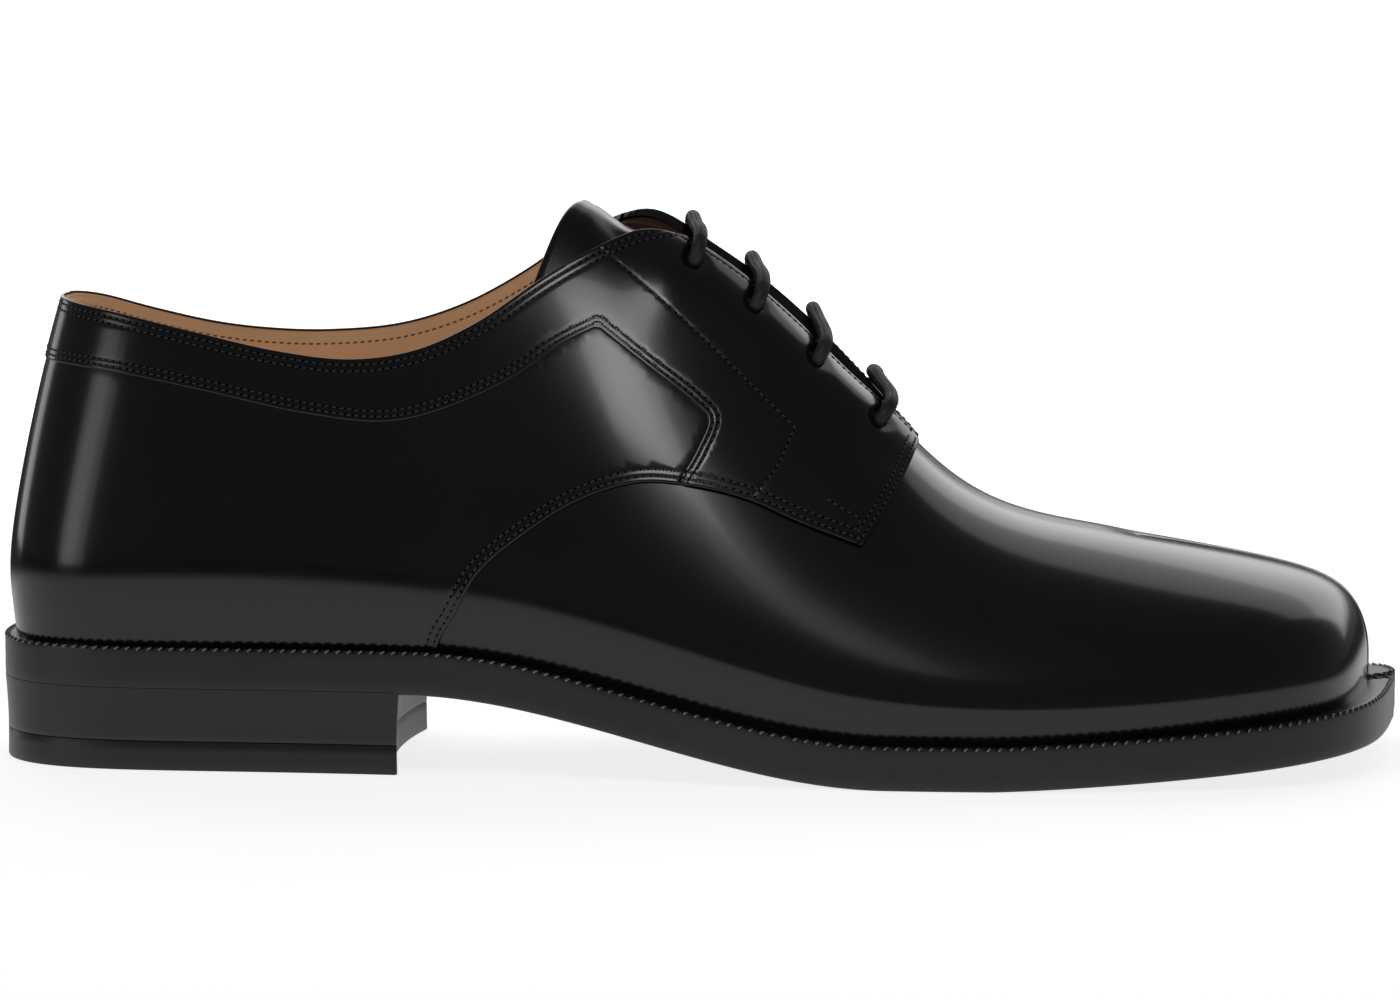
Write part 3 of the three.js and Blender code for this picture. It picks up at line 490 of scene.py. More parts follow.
class Panel:
    def __init__(self, along, around):
        grid = np.stack(np.meshgrid(along, around, indexing="ij"), axis=-1)
        self.at = grid.reshape(-1, 2)
        rows, columns = grid.shape[:2]
        corner = (np.arange(rows - 1)[:, None] * columns + np.arange(columns - 1)).ravel()
        a, b, c, d = corner, corner + columns, corner + columns + 1, corner + 1
        odd = ((corner // columns + corner % columns) % 2 == 1)[:, None]
        first = np.where(odd, np.stack([a, b, d], axis=1), np.stack([a, b, c], axis=1))
        second = np.where(odd, np.stack([b, c, d], axis=1), np.stack([a, c, d], axis=1))
        self.faces = np.concatenate([first, second])
        self.locked = np.zeros(len(self.at), dtype=bool)
        self.makers = {}
        self.fields = {}

    def measure(self, name, maker):
        self.makers[name] = maker
        self.fields[name] = maker(netFrame(lastNet, self.at)[0])

    def remeasure(self, which):
        points = netFrame(lastNet, self.at[which])[0]
        for name, maker in self.makers.items():
            self.fields[name][which] = maker(points)

    def edges(self):
        pairs = np.concatenate([self.faces[:, [0, 1]], self.faces[:, [1, 2]], self.faces[:, [2, 0]]])
        return np.unique(np.sort(pairs, axis=1), axis=0)

    def crossings(self, name, value):
        field = self.fields[name] - value
        field[np.abs(field) < 1e-9] = 0
        edges = self.edges()
        ends = field[edges]
        crossed = ends[:, 0] * ends[:, 1] < 0
        return edges[crossed], ends[crossed, 0] / (ends[crossed, 0] - ends[crossed, 1])

    def cut(self, name, value, snap=0.12):
        # Puts a line of vertices where the field has this value
        edges, share = self.crossings(name, value)
        for end, close in ((0, share < snap), (1, share > 1 - snap)):
            which = edges[close, end]
            free = ~self.locked[which]
            which, part, ends = which[free], share[close][free][:, None], edges[close][free]
            self.at[which] = self.at[ends[:, 0]] * (1 - part) + self.at[ends[:, 1]] * part
            self.remeasure(which)
            self.fields[name][which] = value
            self.locked[which] = True
        edges, share = self.crossings(name, value)
        if len(edges) == 0:
            return
        count = len(self.at)
        part = share[:, None]
        fresh = self.at[edges[:, 0]] * (1 - part) + self.at[edges[:, 1]] * part
        self.at = np.concatenate([self.at, fresh])
        self.locked = np.concatenate([self.locked, np.ones(len(fresh), dtype=bool)])
        freshPoints = netFrame(lastNet, fresh)[0]
        for other, maker in self.makers.items():
            self.fields[other] = np.concatenate([self.fields[other], maker(freshPoints)])
        self.fields[name][count:] = value
        keys = edges[:, 0] * count + edges[:, 1]
        order = np.argsort(keys)
        keys, ids = keys[order], order + count

        def middle(i, j):
            wanted = np.minimum(i, j) * count + np.maximum(i, j)
            spot = np.minimum(np.searchsorted(keys, wanted), len(keys) - 1)
            return np.where(keys[spot] == wanted, ids[spot], -1)

        i, j, k = self.faces.T
        mids = np.stack([middle(i, j), middle(j, k), middle(k, i)], axis=1)
        cuts = (mids >= 0).sum(axis=1)
        made = [self.faces[cuts == 0]]
        for turn in range(3):
            i, j, k = (self.faces[:, (turn + step) % 3] for step in range(3))
            ij, ki = mids[:, turn], mids[:, (turn + 2) % 3]
            pick = (cuts == 2) & (ij >= 0) & (ki >= 0)
            made.append(np.stack([i, ij, ki], axis=1)[pick])
            made.append(np.stack([ij, j, k], axis=1)[pick])
            made.append(np.stack([ij, k, ki], axis=1)[pick])
            pick = (cuts == 1) & (ij >= 0)
            made.append(np.stack([i, ij, k], axis=1)[pick])
            made.append(np.stack([ij, j, k], axis=1)[pick])
        self.faces = np.concatenate(made)

    def keep(self, name, value, sign=1):
        field = sign * (self.fields[name][self.faces] - value)
        self.faces = self.faces[(field.max(axis=1) > 1e-7) & (field.min(axis=1) > -1e-7)]
        used = np.unique(self.faces)
        index = np.full(len(self.at), -1)
        index[used] = np.arange(len(used))
        self.at, self.locked = self.at[used], self.locked[used]
        self.faces = index[self.faces]
        for other in self.fields:
            self.fields[other] = self.fields[other][used]

    def trim(self, name, value, sign=1):
        self.cut(name, value)
        self.keep(name, value, sign)

    def shape(self, level):
        point, out = lastFrame(self.at)
        self.base, self.out, self.level = point, out, level
        self.points = point + out * level[:, None]

    def boundary(self, name, value):
        pairs = np.concatenate([self.faces[:, [0, 1]], self.faces[:, [1, 2]], self.faces[:, [2, 0]]])
        low, high = pairs.min(axis=1), pairs.max(axis=1)
        keys = low * len(self.points) + high
        _, spot, times = np.unique(keys, return_index=True, return_counts=True)
        single = pairs[spot[times == 1]]
        field = np.full(len(self.points), 1.0)
        field[: len(self.at)] = np.abs(self.fields[name] - value)
        return single[(field[single] < 1e-6).all(axis=1)]

    def rim(self, name, value, rows):
        # Walls down from an edge. Each of "rows" gives the new points for the edge's vertices.
        edge = self.boundary(name, value)
        which = np.unique(edge)
        index = np.full(len(self.points), -1)
        index[which] = np.arange(len(which))
        above = which
        for row in rows:
            fresh = row(which)
            start = len(self.points)
            self.points = np.concatenate([self.points, fresh])
            below = start + np.arange(len(which))
            a, b = index[edge[:, 0]], index[edge[:, 1]]
            self.faces = np.concatenate([
                self.faces,
                np.stack([above[b], above[a], below[a]], axis=1),
                np.stack([above[b], below[a], below[b]], axis=1),
            ])
            above = below

    def lowered(self, level):
        return lambda which: self.base[which] + self.out[which] * level


def rolled(distance, radius):
    # How far a rounded edge falls at this distance from the edge
    short = np.clip(1 - distance / radius, 0, 1)
    return radius * (1 - np.sqrt(1 - short**2))


rollCuts = (0.0, 0.05, 0.2, 0.5, 1.0)


def spread(*ranges):
    # Even steps within each range: (start, end, step)
    made = [np.linspace(a, b, max(2, int(round(abs(b - a) / step)) + 1))[:-1] for a, b, step in ranges]
    return np.concatenate([*made, [ranges[-1][1]]])


# Meshes and pieces. Both distances are in metres.

weldDistance = 2e-6
thinDistance = 1e-7


def makePiece(name, points, faces, material, slot, nodes=(), sharp=None, weld=True):
    mesh = bpy.data.meshes.new(name)
    whole = [list(map(int, face)) for face in faces]
    mesh.from_pydata((np.asarray(points) * metres).tolist(), [], whole)
    if weld:
        work = bmesh.new()
        work.from_mesh(mesh)
        bmesh.ops.remove_doubles(work, verts=work.verts, dist=weldDistance)
        bmesh.ops.dissolve_degenerate(work, edges=work.edges, dist=thinDistance)
        work.to_mesh(mesh)
        work.free()
    mesh.shade_smooth()
    if sharp:
        mesh.set_sharp_from_angle(angle=math.radians(sharp))
    mesh.materials.append(material)
    piece = bpy.data.objects.new(name, mesh)
    bpy.context.scene.collection.objects.link(piece)
    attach(piece, "root")
    if nodes:
        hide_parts(*nodes)
    print(name, len(mesh.polygons), "faces")
    return piece


# Materials

def nodeGroup(name, inputs, outputs):
    group = bpy.data.node_groups.new(name, "ShaderNodeTree")
    for label, kind, value in inputs:
        socket = group.interface.new_socket(name=label, in_out="INPUT", socket_type=kind)
        if value is not None:
            socket.default_value = value
    for label, kind in outputs:
        group.interface.new_socket(name=label, in_out="OUTPUT", socket_type=kind)
    nodes = group.nodes
    return group, nodes.new("NodeGroupInput"), nodes.new("NodeGroupOutput")


def addNode(tree, kind, settings=None, **links):
    node = tree.nodes.new(kind)
    for key, value in (settings or {}).items():
        setattr(node, key, value)
    for key, value in links.items():
        socket = node.inputs[int(key[1:])] if key[0] == "i" and key[1:].isdigit() else node.inputs[key]
        if isinstance(value, bpy.types.NodeSocket):
            tree.links.new(value, socket)
        else:
            socket.default_value = value
    return node


def noiseNode(tree, vector, scale, detail=3.0, roughness=0.5):
    links = {"Vector": vector, "Scale": scale, "Detail": detail, "Roughness": roughness}
    return addNode(tree, "ShaderNodeTexNoise", **links)


def mathNode(tree, operation, first, second):
    return addNode(tree, "ShaderNodeMath", {"operation": operation}, i0=first, i1=second).outputs[0]


def rampNode(tree, factor, stops):
    ramp = tree.nodes.new("ShaderNodeValToRGB")
    tree.links.new(factor, ramp.inputs["Fac"])
    elements = ramp.color_ramp.elements
    while len(elements) > 2:
        elements.remove(elements[-1])
    for index, (place, colour) in enumerate(stops):
        element = elements[index] if index < 2 else elements.new(place)
        element.position = place
        element.color = (*colour, 1)
    return ramp.outputs["Color"]


def makeLeatherGrain():
    # Fine pores and soft creases of leather, as a height, with a slow mask for handling marks
    group, entry, exit = nodeGroup(
        "leatherGrain",
        [("Pore Size", "NodeSocketFloat", 1100.0), ("Pore Depth", "NodeSocketFloat", 0.3),
         ("Swell", "NodeSocketFloat", 0.6)],
        [("Height", "NodeSocketFloat"), ("Mask", "NodeSocketFloat")],
    )
    place = addNode(group, "ShaderNodeTexCoord").outputs["Object"]
    pores = addNode(group, "ShaderNodeTexVoronoi", {"feature": "DISTANCE_TO_EDGE"}, Vector=place)
    group.links.new(entry.outputs["Pore Size"], pores.inputs["Scale"])
    poreHeight = mathNode(group, "MULTIPLY", mathNode(group, "MINIMUM", pores.outputs["Distance"], 0.25),
                          entry.outputs["Pore Depth"])
    swell = noiseNode(group, place, 75.0, 2.0).outputs["Fac"]
    swellHeight = mathNode(group, "MULTIPLY", swell, entry.outputs["Swell"])
    group.links.new(mathNode(group, "ADD", poreHeight, swellHeight), exit.inputs["Height"])
    mask = noiseNode(group, place, 38.0, 5.0, 0.62).outputs["Fac"]
    group.links.new(mask, exit.inputs["Mask"])
    return group


grainGroup = makeLeatherGrain()


def setSockets(node, values):
    for name, value in values.items():
        node.inputs[name].default_value = value


def newMaterial(name):
    material = bpy.data.materials.new(name)
    material.use_nodes = True
    tree = material.node_tree
    return material, tree, tree.nodes["Principled BSDF"]


def leatherMaterial(name, look):
    material, tree, shader = newMaterial(name)
    grain = tree.nodes.new("ShaderNodeGroup")
    grain.node_tree = grainGroup
    setSockets(grain, {
        "Pore Size": look["poreSize"], "Pore Depth": look["poreDepth"], "Swell": look["swell"],
    })
    colour = rampNode(tree, grain.outputs["Mask"], [(0.32, look["dark"]), (0.7, look["light"])])
    tree.links.new(colour, shader.inputs["Base Color"])
    rough = addNode(tree, "ShaderNodeMapRange")
    tree.links.new(grain.outputs["Mask"], rough.inputs["Value"])
    setSockets(rough, {
        "From Min": 0.3, "From Max": 0.7, "To Min": look["smoothest"], "To Max": look["roughest"],
    })
    tree.links.new(rough.outputs["Result"], shader.inputs["Roughness"])
    bump = addNode(tree, "ShaderNodeBump", Strength=look["bump"], Distance=look["bumpDepth"])
    tree.links.new(grain.outputs["Height"], bump.inputs["Height"])
    tree.links.new(bump.outputs["Normal"], shader.inputs["Normal"])
    setSockets(shader, {
        "Coat Weight": look["coat"], "Coat Roughness": look["coatRoughness"], "IOR": 1.5,
    })
    return material


boxCalf = leatherMaterial("boxCalf", {
    "dark": (0.0028, 0.0028, 0.0032), "light": (0.0042, 0.0042, 0.0048), "smoothest": 0.17,
    "roughest": 0.21, "poreSize": 1500.0, "poreDepth": 0.1, "swell": 0.3, "bump": 0.04,
    "bumpDepth": 0.0003, "coat": 0.25, "coatRoughness": 0.08,
})
tongueCalf = leatherMaterial("tongueCalf", {
    "dark": (0.003, 0.003, 0.0035), "light": (0.005, 0.005, 0.0055), "smoothest": 0.22, "roughest": 0.3,
    "poreSize": 1300.0, "poreDepth": 0.3, "swell": 0.8, "bump": 0.08, "bumpDepth": 0.0005, "coat": 0.15,
    "coatRoughness": 0.15,
})
liningLook = {
    "poreSize": 1500.0, "poreDepth": 0.4, "swell": 0.8, "bump": 0.25, "bumpDepth": 0.0004, "coat": 0.0,
    "coatRoughness": 0.3,
}
liningLeather = leatherMaterial("liningLeather", {
    **liningLook, "dark": (0.4, 0.235, 0.13), "light": (0.56, 0.36, 0.215), "smoothest": 0.5,
    "roughest": 0.65,
})
facingLining = leatherMaterial("facingLining", {
    **liningLook, "dark": (0.035, 0.016, 0.014), "light": (0.06, 0.028, 0.024), "smoothest": 0.45,
    "roughest": 0.6,
})
inkLook = {
    "dark": (0.012, 0.012, 0.0128), "light": (0.018, 0.018, 0.019), "smoothest": 0.34, "roughest": 0.42,
    "poreDepth": 0.4, "swell": 0.4, "bump": 0.1, "bumpDepth": 0.0004, "coat": 0.1,
}
soleEdgeInk = leatherMaterial("soleEdgeInk", {
    **inkLook, "poreSize": 1700.0, "coatRoughness": 0.25,
})
heelInk = leatherMaterial("heelInk", {
    **inkLook, "poreSize": 1500.0, "poreDepth": 0.35, "coatRoughness": 0.22,
})
heelRubber = leatherMaterial("heelRubber", {
    **inkLook, "dark": (0.012, 0.012, 0.0125), "light": (0.017, 0.017, 0.0178), "poreSize": 900.0,
    "poreDepth": 0.3, "bump": 0.2, "bumpDepth": 0.0003, "coat": 0.0, "coatRoughness": 0.3,
})
threadLook = {
    "poreSize": 3200.0, "poreDepth": 0.6, "swell": 0.2, "bump": 0.3, "bumpDepth": 0.0002,
}
threadBlack = leatherMaterial("threadBlack", {
    **threadLook, "dark": (0.026, 0.026, 0.028), "light": (0.042, 0.042, 0.045), "smoothest": 0.42,
    "roughest": 0.55, "coat": 0.1, "coatRoughness": 0.2,
})
waxedLace = leatherMaterial("waxedLace", {
    "dark": (0.018, 0.018, 0.0195), "light": (0.036, 0.036, 0.038), "smoothest": 0.5, "roughest": 0.62,
    "poreSize": 2600.0, "poreDepth": 0.5, "swell": 0.3, "bump": 0.3, "bumpDepth": 0.0003, "coat": 0.08,
    "coatRoughness": 0.2,
})
threadTan = leatherMaterial("threadTan", {
    **threadLook, "dark": (0.2, 0.11, 0.06), "light": (0.3, 0.18, 0.1), "smoothest": 0.5,
    "roughest": 0.6, "coat": 0.0, "coatRoughness": 0.3,
})
# Painted highlight: light grey on the black welt's beads stands in for the glints they catch
glintPaintedBead = leatherMaterial("glintPaintedBead", {
    **threadLook, "dark": (0.14, 0.14, 0.145), "light": (0.24, 0.24, 0.25), "smoothest": 0.28,
    "roughest": 0.34, "coat": 0.6, "coatRoughness": 0.2,
})


def plainMaterial(name, colour, roughness):
    material, _, shader = newMaterial(name)
    setSockets(shader, {"Base Color": (*colour, 1), "Roughness": roughness, "Specular IOR Level": 0.0})
    return material


# Painted shade: flat black for the insides of the needle holes
needleHoleShade = plainMaterial("needleHoleShade", (0.001, 0.001, 0.001), 1.0)


def paintedBounceGlow(material, colour, strength):
    # Painted glow: a faint emission that stands in for light bouncing about inside the shoe
    shader = next(node for node in material.node_tree.nodes if node.type == "BSDF_PRINCIPLED")
    setSockets(shader, {"Emission Color": (*colour, 1), "Emission Strength": strength})


# Painted glow on both linings, in place of the light that bounces about inside the shoe
paintedBounceGlow(liningLeather, (0.5, 0.29, 0.15), 0.3)
paintedBounceGlow(facingLining, (0.12, 0.05, 0.04), 0.1)
print("materials ready")


# Stitch rows: each is a line on the upper at a distance inside one of the fields

stitch = {
    "pitch": 1.55,
    "length": 1.0,
    "width": 0.4,
    "height": 0.2,
    "lean": 0.12,
    "groove": 0.08,
    "grooveWidth": 0.42,
}
# How far each row stays from the edges that it would run into
rowClear = {
    "quarterFromThroat": 2.0,
    "quarterFromWelt": 1.0,
    "bandFromSeam": 3.2,
    "bandFromCollar": 3.4,
    "facingFromEdges": 3.4,
    "facingFromThroat": 2.4,
    "throatFromSeam": 1.3,
    "bandEdge": 0.9,
    "liningFromThroat": 3.0,
}
liningRow = {"offset": 2.5, "level": -1.52}
tackLine = ((27.6, 56.5), (34.5, 52.5), (34.5, 47.9))
rowOffsets = {
    "quarter": (0.95, 2.35),
    "band": (1.05, 2.15),
    "collar": (1.2, 2.5),
    "throat": (1.5,),
    "facingStitch": (0.0,),
}


def groove(fields, names):
    # Shallow channels along the stitch rows
    depth = 0
    for name in names:
        for offset in rowOffsets[name]:
            aside = (fields[name] - offset) / (0.6 * stitch["grooveWidth"])
            depth = np.maximum(depth, np.exp(-(aside**2)))
    return stitch["groove"] * depth


def cutGrooves(panel, names):
    for name in names:
        for offset in rowOffsets[name]:
            for aside in (-stitch["grooveWidth"], 0.0, stitch["grooveWidth"]):
                panel.cut(name, offset + aside)


# Upper panels

upper = {
    "vampLevel": 0.0,
    "quarterLevel": 0.8,
    "bandLevel": 1.12,
    "innerLevel": -1.5,
    "edgeRoll": 0.35,
    "vampUnderQuarter": 5.0,
    "quarterUnderBand": 3.0,
    "cornerRadius": 1.6,
    "collarCorner": 5.0,
    "vampWallEnd": -0.9,
    "quarterWallLevels": (0.15, -0.3),
    "collarWallEnd": 0.5,
    "throatWallEnd": -0.9,
    "seamWallEnd": 0.35,
    "backSeam": 0.25,
    "backSeamWidth": 0.02,
    "tuck": 0.25,
}

facing = {
    "crest": 1.1,
    "crestInset": 8.0,
    "crestWidth": 5.0,
    "endRise": 1.9,
    "farEndRise": 0.2,
    "endX": 41.0,
    "endWidth": 8.0,
    "cornerRise": 2.8,
    "cornerX": -11.5,
    "cornerWidth": 9.0,
    "crestBackX": -16.0,
    "crestFrontX": 32.0,
    "crestFade": 12.0,
    "besideFrom": 9.0,
    "besideFade": 14.0,
}


def besideThroat(points):
    aside = np.abs(points[:, 1] - throatMiddleY)
    return 1 - ease((aside - facing["besideFrom"]) / facing["besideFade"])


def cornerFlare(points):
    # The far facing's corner at the collar stands away from the tongue
    high = np.where(points[:, 1] > throatMiddleY, facing["cornerRise"], 0.0)
    along = (points[:, 0] - facing["cornerX"]) / facing["cornerWidth"]
    return high * np.exp(-(along**2)) * besideThroat(points)


def facingRise(points):
    # How far the facings stand off the last: their rounded crest under the lace, the near one's
    # end on the vamp and the far one's corner
    x = points[:, 0]
    fromEdge = np.maximum(throatField(points), 0)
    crest = facing["crest"] * np.exp(-(((fromEdge - facing["crestInset"]) / facing["crestWidth"]) ** 2))
    behind = ease((x - facing["crestBackX"]) / facing["crestFade"])
    crest = crest * behind * (1 - ease((x - facing["crestFrontX"]) / facing["crestFade"]))
    high = np.where(points[:, 1] < throatMiddleY, facing["endRise"], facing["farEndRise"])
    end = high * np.exp(-(((x - facing["endX"]) / facing["endWidth"]) ** 2))
    return crest + end * besideThroat(points) + cornerFlare(points)


def cleftWallRows(panel):
    # The wall of the cleft: from the lip in, then down to the welt
    def row(share):
        def place(which):
            lip, out = panel.points[which], panel.out[which]
            drop = lip[:, 2] - weltTop(lip[:, 0]) + 1.0
            foot = lip.copy()
            foot[:, 0] -= 0.6 * drop * np.clip(out[:, 0], 0, 1)
            foot[:, 2] -= drop
            bend = lip - out * np.minimum(0.5 * drop, 3.0)[:, None]
            a, b = (1 - share) ** 2, 2 * share * (1 - share)
            return a * lip + b * bend + share**2 * foot

        return place

    return [row(share) for share in cleft["wallRows"]]


def makeVamp():
    panel = Panel(
        spread((4.0, 11.5, 0.05), (11.5, 13.0, 0.05), (13.0, 14.0, 0.07), (14.0, 15.0, 0.06)),
        spread((0.0, 10.0, 0.055)),
    )
    panel.measure("quarter", quarterField)
    panel.measure("cleft", cleftField)
    panel.trim("quarter", upper["vampUnderQuarter"], -1)
    panel.trim("cleft", 0.0)
    for value in cleft["lipCuts"]:
        panel.cut("cleft", value)
    point = netFrame(lastNet, panel.at)[0]
    radius = cleftRoundAt(point[:, 0])
    fall = rolled(panel.fields["cleft"], 1.0) * radius
    aside = panel.fields["cleft"] * radius
    dip = cleft["dip"] * np.exp(-((aside / cleft["dipWidth"]) ** 2))
    dip = dip * ease((point[:, 0] - cleftRootX + 14) / 14)
    panel.shape(upper["vampLevel"] - fall - dip)
    panel.rim("cleft", 0.0, cleftWallRows(panel))
    panel.rim("quarter", upper["vampUnderQuarter"], [panel.lowered(upper["vampWallEnd"])])
    return makePiece("vamp", panel.points, panel.faces, boxCalf, "box_calf", nodes=("upper",))


def halfSpan(side, low, high, step):
    # Lattice lines on one half of the last, measured from its foot line up
    steps = spread((low, high, step))
    return steps if side < 0 else columnEnd - steps[::-1]


def makeQuarter(side):
    panel = Panel(spread((0.0, 1.0, 0.035), (1.0, 9.2, 0.05)), halfSpan(side, 0.0, 4.6, 0.045))
    panel.measure("quarter", quarterField)
    panel.measure("band", bandField)
    panel.trim("band", upper["quarterUnderBand"], -1)
    panel.trim("quarter", 0.0)
    roll = upper["edgeRoll"]
    for share in rollCuts[1:]:
        panel.cut("quarter", share * roll)
    cutGrooves(panel, ["quarter"])
    fields = panel.fields
    level = upper["quarterLevel"] - rolled(fields["quarter"], roll) - groove(fields, ["quarter"])
    seamGap = upper["backSeam"] * np.exp(-((panel.at[:, 0] / upper["backSeamWidth"]) ** 2))
    tuck = upper["tuck"] * ease(fields["band"] / 1.0)
    panel.shape(level - seamGap - tuck + facingRise(netFrame(lastNet, panel.at)[0]))
    panel.rim("quarter", 0.0, [panel.lowered(down) for down in upper["quarterWallLevels"]])
    name = "quarter_outer" if side < 0 else "quarter_inner"
    return makePiece(name, panel.points, panel.faces, boxCalf, "box_calf", nodes=("upper",))


def bandInside(points):
    openings = roundedMeet([collarField(points), throatField(points)], upper["collarCorner"])
    return roundedMeet([bandField(points), quarterField(points), openings], upper["cornerRadius"])


def bothHalves(parts):
    (outerPoints, outerFaces), (innerPoints, innerFaces) = parts
    points = np.concatenate([outerPoints, innerPoints])
    return points, np.concatenate([outerFaces, innerFaces + len(outerPoints)])


def makeBand():
    parts = []
    for side in (-1, 1):
        panel = Panel(
            spread((0.0, 1.0, 0.035), (1.0, 6.2, 0.05), (6.2, 9.3, 0.03)),
            halfSpan(side, 2.2, 4.99, 0.03),
        )
        for name, maker in (
            ("band", bandField), ("quarter", quarterField), ("collar", collarField),
            ("throat", throatField), ("facingStitch", facingStitchField),
            ("inside", bandInside), ("eyelet", eyeletField),
        ):
            panel.measure(name, maker)
        panel.trim("inside", 0.0)
        panel.trim("eyelet", eyelet["radius"])
        roll = upper["edgeRoll"]
        for share in rollCuts[1:]:
            panel.cut("inside", share * roll)
            panel.cut("eyelet", eyelet["radius"] + share * eyelet["rollRadius"])
        rows = ["band", "quarter", "collar", "throat", "facingStitch"]
        cutGrooves(panel, rows)
        fields = panel.fields
        fromHole = fields["eyelet"] - eyelet["radius"]
        pucker = eyelet["pucker"] * np.exp(-((fromHole / eyelet["puckerWidth"]) ** 2))
        level = upper["bandLevel"] - rolled(fields["inside"], roll) - groove(fields, rows)
        level = level - rolled(fromHole, eyelet["rollRadius"]) - pucker
        panel.shape(level + facingRise(netFrame(lastNet, panel.at)[0]))
        # Down past the quarter at the band's own edge, and down to the lining at the openings
        opening = np.minimum(fields["collar"], fields["throat"])
        atOpening = (opening < fields["band"]) & (opening < fields["quarter"] + 0.5)
        atCollar = fields["collar"] < fields["throat"]
        low = np.where(atCollar, upper["collarWallEnd"], upper["throatWallEnd"])
        low = np.where(atOpening, low, upper["seamWallEnd"]) + cornerFlare(panel.points)

        def walls(share, panel=panel, low=low):
            def row(which):
                top = panel.level[which]
                return panel.base[which] + panel.out[which] * (top + (low[which] - top) * share)[:, None]

            return row

        panel.rim("inside", 0.0, [walls(0.5), walls(1.0)])
        panel.rim("eyelet", eyelet["radius"], [panel.lowered(down) for down in eyelet["wallLevels"]])
        parts.append((panel.points, panel.faces))
    return makePiece("collar_band", *bothHalves(parts), boxCalf, "box_calf", nodes=("upper",))


lining = {
    "fromCollar": 0.4,
    "fromThroat": 0.5,
    "fromCleft": 3.0,
    "edgeCuts": (0.1, 0.25, 0.5, 0.9, 1.4),
    "edgeRise": 0.6,
    "edgeLevel": -0.5,
    "collarRise": 1.35,
    "facingBackX": -27.0,
    "facingLowZ": 46.0,
}


def liningInside(points):
    fields = [collarField(points) - lining["fromCollar"], throatField(points) - lining["fromThroat"]]
    return roundedMeet(fields, upper["collarCorner"])


def facingPart(points):
    # The dark lining of the facings lies in front of one line and over another
    return np.minimum(points[:, 0] - lining["facingBackX"], points[:, 2] - lining["facingLowZ"])


def makeLining(name, material, facings):
    # The lining faces the foot, so its faces are turned. At the collar it comes up to the edge.
    parts = []
    for side in (-1, 1):
        panel = Panel(
            spread((0.0, 1.0, 0.04), (1.0, 10.0, 0.06), (10.0, 15.0, 0.08)),
            halfSpan(side, 0.0, 5.0, 0.05),
        )
        for field, maker in (
            ("inside", liningInside), ("collar", collarField),
            ("cleft", cleftField), ("facing", facingPart),
        ):
            panel.measure(field, maker)
        panel.trim("inside", 0.0)
        panel.trim("cleft", lining["fromCleft"])
        panel.trim("facing", 0.0, 1 if facings else -1)
        for value in lining["edgeCuts"]:
            panel.cut("inside", value)
        turned = 1 - ease(panel.fields["inside"] / lining["edgeCuts"][-1])
        nearCollar = 1 - ease((panel.fields["collar"] - 0.5) / 1.5)
        level = upper["innerLevel"] + turned * (lining["edgeRise"] + lining["collarRise"] * nearCollar)
        panel.shape(level + cornerFlare(netFrame(lastNet, panel.at)[0]))
        panel.rim("inside", 0.0, [panel.lowered(lining["edgeLevel"])])
        parts.append((panel.points, panel.faces[:, ::-1]))
    return makePiece(name, *bothHalves(parts), material, "lining_leather", nodes=("upper",))


makeVamp()
for side in (-1, 1):
    makeQuarter(side)
makeBand()
makeLining("lining", liningLeather, False)
makeLining("facing_lining", facingLining, True)
print("upper ready")


# Stitches

def stitchShape():
    # One stitch: a rounded grain, with its length along X and its top along Z
    around, alongSteps = 7, (-0.5, -0.4, -0.15, 0.15, 0.4, 0.5)
    points, faces = [], []
    for place in alongSteps:
        girth = math.sqrt(max(0.0, 1 - (2 * place) ** 4)) * 0.92 + 0.08
        for k in range(around):
            angle = 2 * math.pi * k / around
            points.append([
                place * stitch["length"],
                0.5 * stitch["width"] * girth * math.cos(angle),
                stitch["height"] * girth * math.sin(angle),
            ])
    for ring in range(len(alongSteps) - 1):
        for k in range(around):
            a, b = ring * around + k, ring * around + (k + 1) % around
            faces.append([a, a + around, b + around, b])
    faces.append(list(range(around)))
    faces.append([len(points) - 1 - k for k in range(around)])
    return np.array(points), faces


stitchPoints, stitchFaces = stitchShape()


def holeShape():
    # A flat rounded pit in painted shade: a black plug that stands in for the dark inside of a needle hole,
    # where no light comes out
    around = 7
    turns = 2 * np.pi * np.arange(around) / around
    ring = np.stack([0.24 * np.cos(turns), 0.34 * np.sin(turns), 0 * turns], axis=1)
    points = np.concatenate([ring + [0, 0, -0.1], ring * 0.8 + [0, 0, 0.03]])
    faces = [[k, (k + 1) % around, around + (k + 1) % around, around + k] for k in range(around)]
    return points, [*faces, list(range(around, 2 * around)), list(range(around))[::-1]]


holePoints, holeFaces = holeShape()


